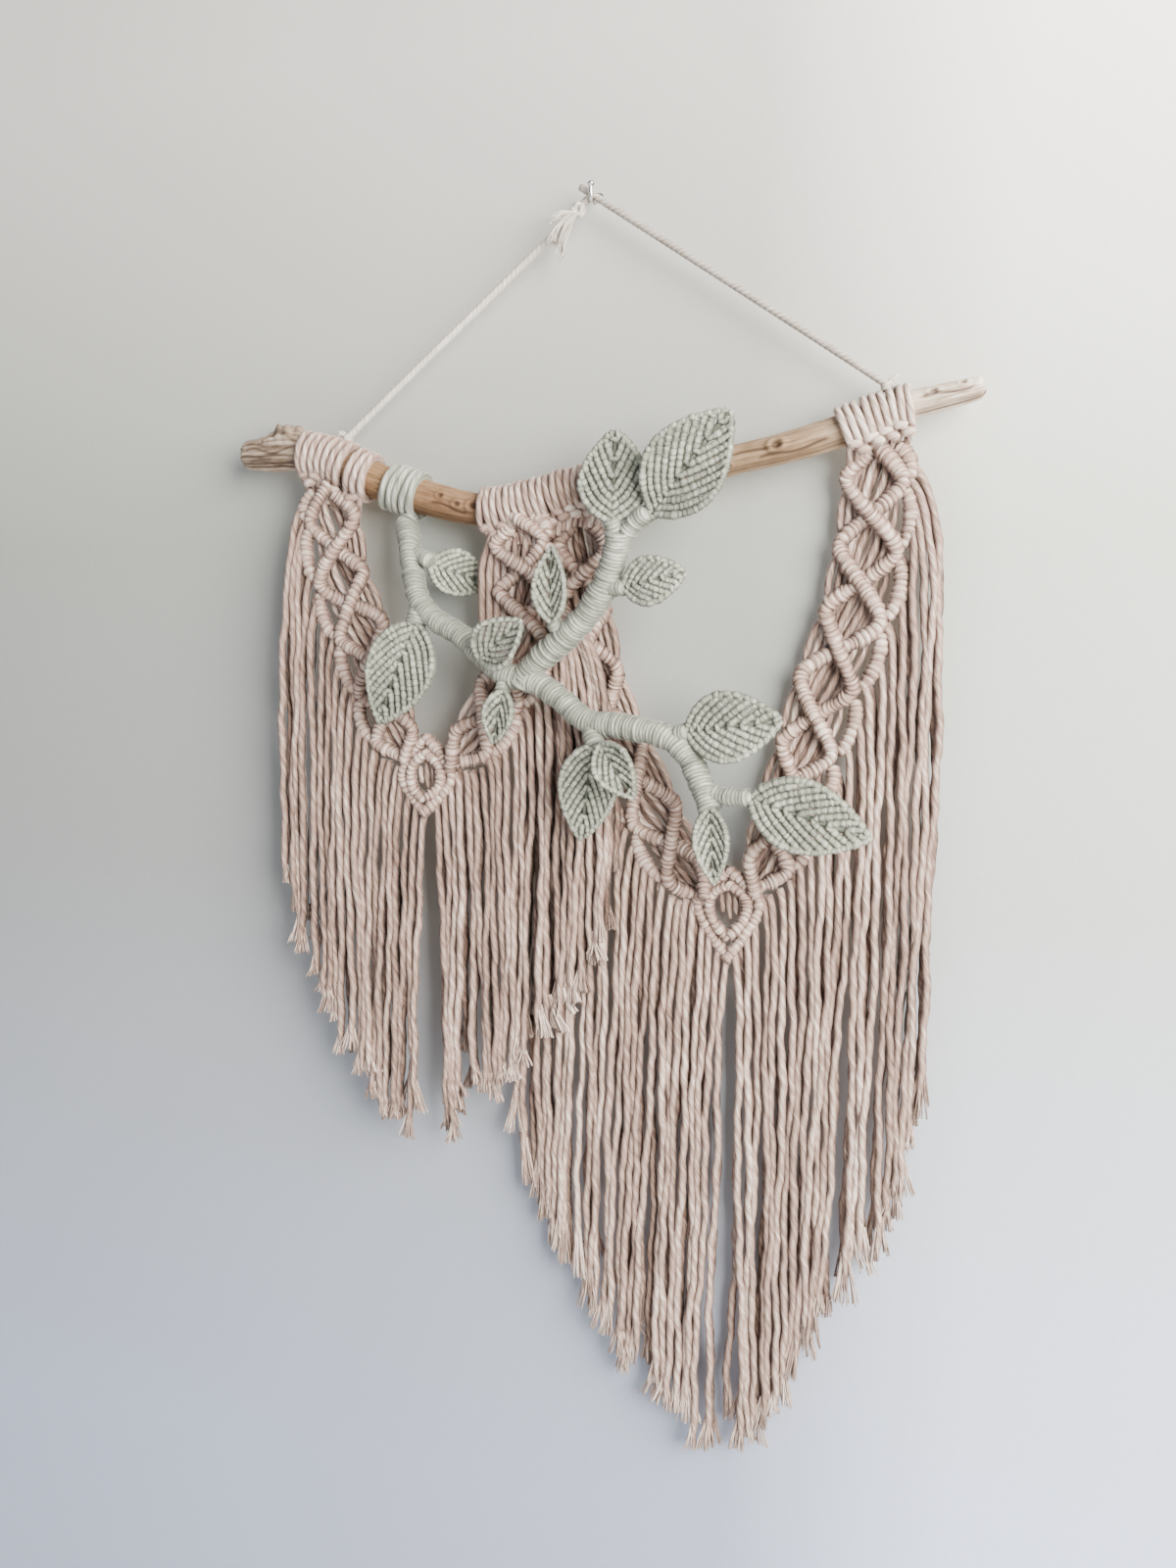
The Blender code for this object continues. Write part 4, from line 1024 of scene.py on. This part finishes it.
def knot_leaf(name, base, tip, half_width, cup, bow, lopsided, material):
    """A leaf of nested ribs: each runs down one side, round its apex on the midrib, and up the other.

    The first row follows the leaf's edge until the edge bends back, and then runs on along a
    parabola that bends towards the tip. Row k is that line moved inwards by k rib widths, mirrored,
    and closed by a half circle. Where a row reaches the edge it follows it until the next row gets
    there. A last rib fills the tip, and a core lies behind the ribs, drawn dark as painted shade in
    the holes between them. The blade is cupped by the square of the way across, and bowed by a sine.
    """
    rng = np.random.default_rng(sum(map(ord, name)))
    base, tip = np.array(base), np.array(tip)
    midrib = tip - base
    size = np.linalg.norm(midrib)
    across = np.cross(midrib, (0.0, -1.0, 0.0))
    across /= np.linalg.norm(across)
    front = np.cross(across, midrib)
    front /= np.linalg.norm(front)

    def blade(u, w):
        """The point u along the midrib and w across it, on the cupped and bowed blade."""
        width = half_width * leaf_width(u / size)
        rise = cup * w * w / np.maximum(width, 0.004) + bow * np.sin(np.pi * u / size)
        w = w * (1 + lopsided * np.sign(w))
        return base + (u / size)[:, None] * midrib + w[:, None] * across + rise[:, None] * front

    rib = float(np.clip(half_width / 5.2, 0.0034, 0.0041))
    u = np.linspace(0.0, size * 1.1, 420)
    edge = half_width * leaf_width(u / size)
    line = edge - 0.45 * rib
    opening = 0.66 + 0.1 * jitter(rng)      # the first row's slope where it leaves the edge
    leave = np.flatnonzero((np.gradient(edge, u) < opening) & (u > 0.1 * size))[0]
    past = u[leave:] - u[leave]
    line[leave:] = line[leave] + opening * (past - 0.36 * past ** 2 / (size - u[leave]))
    slope = np.gradient(line, u)
    norm = np.hypot(1, slope)
    apex = np.linspace(-0.45, 0.45, 9) * np.pi
    pile = Pile()
    innermost = 0.0
    for row in range(16):
        row_u = u + slope / norm * row * rib
        row_w = line - row * rib / norm
        limit = half_width * leaf_width(row_u / size) - 0.45 * rib
        fits = ((row_w > 0.46 * rib) & (row_u < size - 0.3 * rib)
                & (row_w < limit + 0.95 * rib) & (np.gradient(row_u) > 0))
        if row == 0:
            fits[:leave] = True
        row_w = np.minimum(row_w, np.maximum(limit, 0.3 * rib))
        change = np.flatnonzero(np.diff(np.concatenate([[0], fits, [0]])))
        runs = change.reshape(-1, 2)
        if not len(runs):
            continue
        first, last = runs[np.argmax(runs[:, 1] - runs[:, 0])]
        if last - first < 8:
            continue
        arm_u, arm_w = row_u[first:last], row_w[first:last]
        turn_w = arm_w[0] * np.sin(apex)
        turn_u = arm_u[0] - arm_w[0] * np.cos(apex)
        path = blade(np.concatenate([arm_u[::-1], turn_u, arm_u]),
                     np.concatenate([-arm_w[::-1], turn_w, arm_w]))
        if run_along(path)[-1] < 2.2 * rib:
            continue
        innermost = max(innermost, arm_u[0])
        thick = rib * (0.6 if row == 0 else 0.55)
        taper = thick * np.interp(np.linspace(0, 1, 48), (0, 0.04, 0.96, 1), (0.85, 1, 1, 0.85))
        wind(pile, path, taper, LEAF_PITCH, rng, sides=10, groove=0.21, slant=0.35, up=front,
             flat=1.05, uneven=0.34, flank=0.85, floor=0.7)
    spine = np.linspace(innermost + 0.9 * rib, size - 0.2 * rib, 20)
    if spine[-1] - spine[0] > 0.8 * rib:
        wind(pile, blade(spine, 0 * spine), 0.52 * rib, TIP_PITCH, rng, sides=10, groove=0.15,
             up=front, uneven=0.3, flank=0.85, floor=0.8)
    # A core behind the ribs, drawn dark as painted shade in the holes between them.
    core = np.linspace(0.04 * size, 0.94 * size, 40)
    lay_cords(pile, blade(core, 0 * core) - 0.3 * rib * front, 0.5 * rib, sides=8, tone=-1.9)
    pile.make("knotted_" + name, material, "leaf_cotton", name)


def wrap_stem(name, radius, route, material):
    """A wire stem wound close in fine yarn. The turns are drawn 2 mm apart, coarser than real.

    A twig carries more yarn than a stem, most of all where it takes the foot of its leaf, and then
    tapers inside it.
    """
    rng = np.random.default_rng(sum(map(ord, name)))
    pile = Pile()
    path = smooth(route, 240)
    way = np.linspace(0, 1, 60)
    swell = radius * (1.02 + 0.04 * np.interp(way, np.linspace(0, 1, 9), jitter(rng, 9)))
    if "twig" in name:
        swell = swell * np.interp(way, (0, 0.6, 0.88, 1), (1.1, 1.14, 1.24, 0.6))
    wind(pile, path, swell, YARN_PITCH, rng, sides=22, groove=0.048, slant=0.35, flank=0.62,
         uneven=0.2, floor=0.35)
    pile.make("wrapped_" + name, material, "sage_yarn", name)


# ---------------------------------------------------------------- settings, operators and panel

class HangingSizes(bpy.types.PropertyGroup):
    """Sizes of the cords that a maker might change."""
    fringe_radius: bpy.props.FloatProperty(
        name="Fringe cord radius", description="Half the thickness of a hanging cord",
        default=0.0025, unit="LENGTH", precision=5)
    fringe_pitch: bpy.props.FloatProperty(
        name="Fringe spacing", description="Distance between hanging cords in the front layer",
        default=0.005, unit="LENGTH", precision=5)
    fray_radius: bpy.props.FloatProperty(
        name="Frayed strand radius", description="Half the thickness of an opened strand",
        default=0.00052, unit="LENGTH", precision=5)
    fray_strands: bpy.props.IntProperty(
        name="Frayed strands", description="Thin strands at each opened cord end, in fours", default=20)


class HangingLight(bpy.types.PropertyGroup):
    """Power and colour of the studio light."""
    key_power: bpy.props.FloatProperty(
        name="Key light", description="Power of the large soft light at the upper right",
        default=126.0, unit="POWER")
    fill_power: bpy.props.FloatProperty(
        name="Fill light", description="Power of the cool soft light at the lower left",
        default=12.0, unit="POWER")
    back_power: bpy.props.FloatProperty(
        name="Back light", description="Power of the light behind, for views of the back",
        default=110.0, unit="POWER")
    key_colour: bpy.props.FloatVectorProperty(
        name="Key colour", description="Colour of the key light", subtype="COLOR",
        default=linear("#FFF8F0")[:3])
    fill_colour: bpy.props.FloatVectorProperty(
        name="Fill colour", description="Colour of the fill light", subtype="COLOR",
        default=linear("#DFE5FF")[:3])


class HANGING_OT_stage(bpy.types.Operator):
    """Add the wall, the floor, the soft lights and the camera"""
    bl_idname = "hanging.stage"
    bl_label = "Wall, floor, lights and camera"

    def execute(self, context):
        light = context.scene.hanging_light
        wall = add_sheet("wall", ((-2.0, WALL_Y, FLOOR_Z), (2.0, WALL_Y, FLOOR_Z),
                                  (2.0, WALL_Y, 1.4), (-2.0, WALL_Y, 1.4)), wall_material())
        wall.visible_shadow = False
        pale, _, shader = start_material("pale_floor", Roughness=0.85)
        shader.inputs["Base Color"].default_value = linear("#DCDAD5")
        add_sheet("floor", [(x, y, FLOOR_Z) for x, y in ((-3, -3), (3, -3), (3, 3), (-3, 3))], pale)
        add_lamp("key", (1.2, -0.85, 0.1), light.key_power, light.key_colour, 1.3)
        add_lamp("fill", (-1.5, -1.6, -0.75), light.fill_power, light.fill_colour, 1.8)
        add_lamp("back", (-0.5, 1.9, 0.2), light.back_power, light.key_colour, 1.6)
        world = bpy.data.worlds.new("studio")
        world.use_nodes = True
        sky = world.node_tree.nodes["Background"]
        sky.inputs["Color"].default_value = linear("#EEF1F5")
        sky.inputs["Strength"].default_value = 0.36
        context.scene.world = world
        add_camera()
        return {"FINISHED"}


def add_sheet(name, corners, material):
    """A flat four-cornered sheet, for the wall or the floor."""
    mesh = bpy.data.meshes.new(name)
    mesh.from_pydata(corners, [], [(0, 1, 2, 3)])
    mesh.materials.append(material)
    sheet = add_object(name, mesh)
    return sheet


def add_lamp(name, place, power, colour, size):
    """A square soft light that faces the middle of the hanging."""
    data = bpy.data.lights.new(name, "AREA")
    data.energy, data.color, data.size = power, colour, size
    lamp = add_object(name, data)
    lamp.location = place
    aim = Vector((0.0, 0.0, -0.38)) - lamp.location
    lamp.rotation_euler = aim.to_track_quat("-Z", "Y").to_euler()


def add_camera():
    """The camera: turned to the right of straight on, a little above, leaning with the photograph."""
    turn, rise, lean = (math.radians(v) for v in (CAMERA_TURN, CAMERA_RISE, CAMERA_LEAN))
    back = np.array([math.sin(turn) * math.cos(rise), -math.cos(turn) * math.cos(rise),
                     math.sin(rise)])
    right = np.array([math.cos(turn), math.sin(turn), 0.0])
    up = np.cross(back, right)
    leaned = right * math.cos(lean) + up * math.sin(lean)
    upright = up * math.cos(lean) - right * math.sin(lean)
    data = bpy.data.cameras.new("camera")
    data.lens, data.sensor_width = CAMERA_LENS, 36.0
    data.clip_start, data.clip_end = 0.01, 20.0
    camera = add_object("camera", data)
    matrix = np.eye(4)
    matrix[:3, 0], matrix[:3, 1], matrix[:3, 2], matrix[:3, 3] = leaned, upright, back, CAMERA_AT
    camera.matrix_world = Matrix(matrix.tolist())
    bpy.context.scene.camera = camera


class HANGING_OT_branch(bpy.types.Operator):
    """Carve the driftwood branch"""
    bl_idname = "hanging.branch"
    bl_label = "Driftwood branch"

    def execute(self, context):
        carve_branch(driftwood_material())
        return {"FINISHED"}


class HANGING_OT_hook(bpy.types.Operator):
    """Bend the wall hook with its round collar and ball tip"""
    bl_idname = "hanging.hook"
    bl_label = "Wall hook"

    def execute(self, context):
        pile = Pile()
        turn = np.pi * np.linspace(0, 1, 24)
        bend = columns(0.0, HOOK_BEND_Y + HOOK_BEND_RADIUS * np.cos(turn),
                       HOOK_BEND_Z - HOOK_BEND_RADIUS * np.sin(turn))
        line = np.vstack([[(0, -0.0002, 0), (0, -0.006, 0), (0, -0.008, -0.0008)], bend,
                          [(0, HOOK_BEND_Y - HOOK_BEND_RADIUS - 0.0004, HOOK_BEND_Z + 0.0058)]])
        thick = np.full(90, HOOK_WIRE)
        thick[-10:] = HOOK_BALL * np.sqrt(1 - np.linspace(-0.82, 0.97, 10) ** 2)
        lay_cords(pile, even(line, 90), thick, sides=16, up=TO_RIGHT, groove=0.0)
        out = (0.0, -0.0001, -0.0008, -0.0014, -0.0018, -0.002)
        wide = (0.0029, 0.003, 0.0029, 0.0025, 0.0018, 0.0008)
        lay_cords(pile, columns(0.0, out, 0.0), wide, sides=24, up=TO_RIGHT, groove=0.0)
        pile.make("screw_hook", hook_material(), "hook_steel", "wall_hook")
        return {"FINISHED"}


class HANGING_OT_hanging_cord(bpy.types.Operator):
    """Lay the two legs of the hanging cord, its knot and the frayed end"""
    bl_idname = "hanging.hanging_cord"
    bl_label = "Hanging cord"

    def execute(self, context):
        twine, sizes = yarn_material("three_ply_cotton_twine"), context.scene.hanging_sizes
        rng = np.random.default_rng(21)
        knot = np.array(KNOT_CENTRE)
        over = np.array([0.0, HOOK_BEND_Y, HOOK_BEND_Z - HOOK_BEND_RADIUS + 0.004])
        legs = []
        for x, y in (LEFT_SEAT, RIGHT_SEAT):
            z, wood, _ = branch_at(x)
            legs.append(np.array([x, y, z + wood + 0.004]))
        rope = {"sides": 12, "twist": 0.0105, "groove": 0.18}
        pile = Pile()
        lay_cords(pile, smooth((legs[0], legs[0] + (0.003, 0.0, 0.006), knot), 170),
                  LEFT_LEG_RADIUS, **rope)
        tie_end(pile, legs[0], -1, rng, sizes)
        pile.make("rope_left_leg", twine, "cotton_cord", "hanger_cord_left")
        pile = Pile()
        line = smooth((knot, knot * 0.4 + over * 0.6 + (0, 0, 0.0012), over,
                       over + (0.006, 0, -0.0035), legs[1] + (-0.004, 0.0, 0.006), legs[1]), 220)
        # Painted shade: the right leg is drawn darker.
        lay_cords(pile, line, RIGHT_LEG_RADIUS, tone=-1.5, **rope)
        tie_end(pile, legs[1], 1, rng, sizes)
        pile.make("rope_right_leg", twine, "cotton_cord", "hanger_cord_right")
        pile = Pile()
        turn = np.linspace(0, 2 * np.pi, 40)
        for tilt, wide in ((0.5, 0.0031), (-0.7, 0.0029), (1.5, 0.0027)):
            ring = columns(wide * np.cos(turn), 0.0014 * np.sin(turn + tilt), wide * np.sin(turn))
            spin = np.array([[math.cos(tilt), 0, math.sin(tilt)], [0, 1, 0],
                             [-math.sin(tilt), 0, math.cos(tilt)]])
            lay_cords(pile, knot + (ring * (1, 1, 0.75)) @ spin.T, KNOT_CORD_RADIUS, **rope)
        strands, level = 44, 14          # the first of them stand out level to the left
        arc = rng.uniform(0, 1, strands)
        aim = columns(-0.007 - 0.01 * arc, rng.normal(-0.005, 0.0012, strands),
                      -0.027 + 0.012 * arc)
        aim[:level] = columns(rng.normal(-0.015, 0.002, level), rng.normal(-0.004, 0.001, level),
                              rng.normal(-0.005, 0.003, level))
        aim *= rng.uniform(0.8, 1.12, (strands, 1))
        bow = columns(rng.normal(-0.002, 0.0012, strands), rng.normal(-0.001, 0.001, strands),
                      rng.uniform(0.0, 0.002, strands))
        lay_tuft(pile, knot + (-0.0005, -0.002, -0.002), aim, bow[:, None],
                 rng.uniform(0.0004, 0.0007, (strands, 1)), 10,
                 twist=0.012, tone=-0.2 + 1.8 * jitter(rng, strands))
        pile.make("hanger_knot_and_tassel", twine, "cotton_cord", "hanger_knot")
        return {"FINISHED"}


def lay_tuft(pile, start, aim, bow, thin, stations, **looks):
    """Frayed strands from one start: straight along each aim, bent by bow times a sine of the way."""
    u = np.linspace(0, 1, stations)[:, None]
    lay_cords(pile, start + aim[:, None] * u + bow * np.sin(np.pi * u),
              thin * np.linspace(1.2, 0.7, stations), sides=5, groove=0.0, **looks)


def tie_end(pile, place, way, rng, sizes):
    """The tied end of a leg behind the row of knots: a small hitch and a frayed tuft beside it.

    way is -1 for a tuft to the left and 1 for one to the right.
    """
    turn = np.linspace(0, 2 * np.pi, 26)
    for rise in (0.0, 0.0022):
        ring = columns(0.0022 * np.cos(turn), 0.0026 * np.sin(turn), 0.0006 * np.cos(turn))
        lay_cords(pile, place + ring + (0.0, 0.0, rise + 0.0008), 0.0013, sides=8,
                  up=(0.0, 0.0, 1.0), twist=0.009, groove=0.15)
    strands = 12
    aim = columns(way * rng.uniform(0.002, 0.007, strands), rng.uniform(-0.003, 0.001, strands),
                  rng.uniform(0.001, 0.007, strands))
    lay_tuft(pile, place + (0, 0, 0.002), aim, (0, 0, 0.0012), sizes.fray_radius, 7,
             tone=rng.uniform(-0.5, 0.8, strands))


class HANGING_OT_knot_rows(bpy.types.Operator):
    """Knot the three rows of lark's heads and wind the sage cord on the branch"""
    bl_idname = "hanging.knot_rows"
    bl_label = "Rows of knots on the branch"

    def execute(self, context):
        for row in KNOT_ROWS:
            knot_row(*row, yarn_material("single_strand_cotton_cord"))
        wind_sage(yarn_material("fine_sage_yarn"))
        return {"FINISHED"}


class HANGING_OT_lattice(bpy.types.Operator):
    """Knot the four lattice arms and the two double diamonds"""
    bl_idname = "hanging.lattice"
    bl_label = "Knotted lattice"

    def execute(self, context):
        cotton = yarn_material("single_strand_cotton_cord")
        for name, cells, outer, _, depth, *_ in ARMS:
            pile = Pile()
            rng = np.random.default_rng(len(name) * 31 + len(cells))
            knot_lattice(pile, Arm(cells, outer, depth), rng)
            pile.make("lattice_" + name, cotton, "cotton_cord", "net_" + name)
        for name, corners, depth in (("left", LEFT_DIAMOND, FRONT_NET_Y),
                                     ("right", RIGHT_DIAMOND, BACK_NET_Y)):
            pile = Pile()
            knot_diamond(pile, corners, depth, np.random.default_rng(len(name)))
            pile.make("double_diamond_" + name, cotton, "cotton_cord", f"net_{name}_diamond")
        return {"FINISHED"}


class HANGING_OT_fringe(bpy.types.Operator):
    """Hang the four combs of fringe with their frayed ends"""
    bl_idname = "hanging.fringe"
    bl_label = "Fringe"

    def execute(self, context):
        cotton = yarn_material("single_strand_cotton_cord")
        for index, (name, cells, outer, corners, depth, *fall) in enumerate(ARMS):
            pile = Pile()
            hang_fringe(pile, Arm(cells, outer, depth), corners, *fall,
                        np.random.default_rng(50 + index), context.scene.hanging_sizes)
            pile.make("cords_" + name, cotton, "cotton_cord", "fringe_" + name)
        return {"FINISHED"}


class HANGING_OT_vine(bpy.types.Operator):
    """Wrap the vine's stems and twigs in fine yarn"""
    bl_idname = "hanging.vine"
    bl_label = "Wrapped vine"

    def execute(self, context):
        for row in STEMS:
            wrap_stem(*row, yarn_material("fine_sage_yarn"))
        return {"FINISHED"}


class HANGING_OT_leaves(bpy.types.Operator):
    """Knot the thirteen leaves"""
    bl_idname = "hanging.leaves"
    bl_label = "Leaves"

    def execute(self, context):
        for row in LEAVES:
            knot_leaf(*row, yarn_material("sage_cotton_cord"))
        return {"FINISHED"}


PIECES = (HANGING_OT_stage, HANGING_OT_branch, HANGING_OT_hook, HANGING_OT_hanging_cord,
          HANGING_OT_knot_rows, HANGING_OT_lattice, HANGING_OT_fringe, HANGING_OT_vine,
          HANGING_OT_leaves)


class HANGING_PT_panel(bpy.types.Panel):
    """Lists the sizes, the light and a button for each group of pieces"""
    bl_idname = "HANGING_PT_panel"
    bl_label = "Macrame wall hanging"
    bl_space_type = "VIEW_3D"
    bl_region_type = "UI"
    bl_category = "Macrame"

    def draw(self, context):
        for settings in (context.scene.hanging_sizes, context.scene.hanging_light):
            for key in settings.__annotations__:
                self.layout.prop(settings, key)
        for piece in PIECES:
            self.layout.operator(piece.bl_idname)


CLASSES = (HangingSizes, HangingLight, *PIECES, HANGING_PT_panel)


def register():
    for cls in CLASSES:
        bpy.utils.register_class(cls)
    bpy.types.Scene.hanging_sizes = bpy.props.PointerProperty(type=HangingSizes)
    bpy.types.Scene.hanging_light = bpy.props.PointerProperty(type=HangingLight)


def unregister():
    del bpy.types.Scene.hanging_sizes, bpy.types.Scene.hanging_light
    for cls in reversed(CLASSES):
        bpy.utils.unregister_class(cls)


def main():
    """Register the add-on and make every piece."""
    register()
    for piece in PIECES:
        getattr(bpy.ops.hanging, piece.bl_idname.split(".")[1])()


if __name__ == "__main__":
    main()
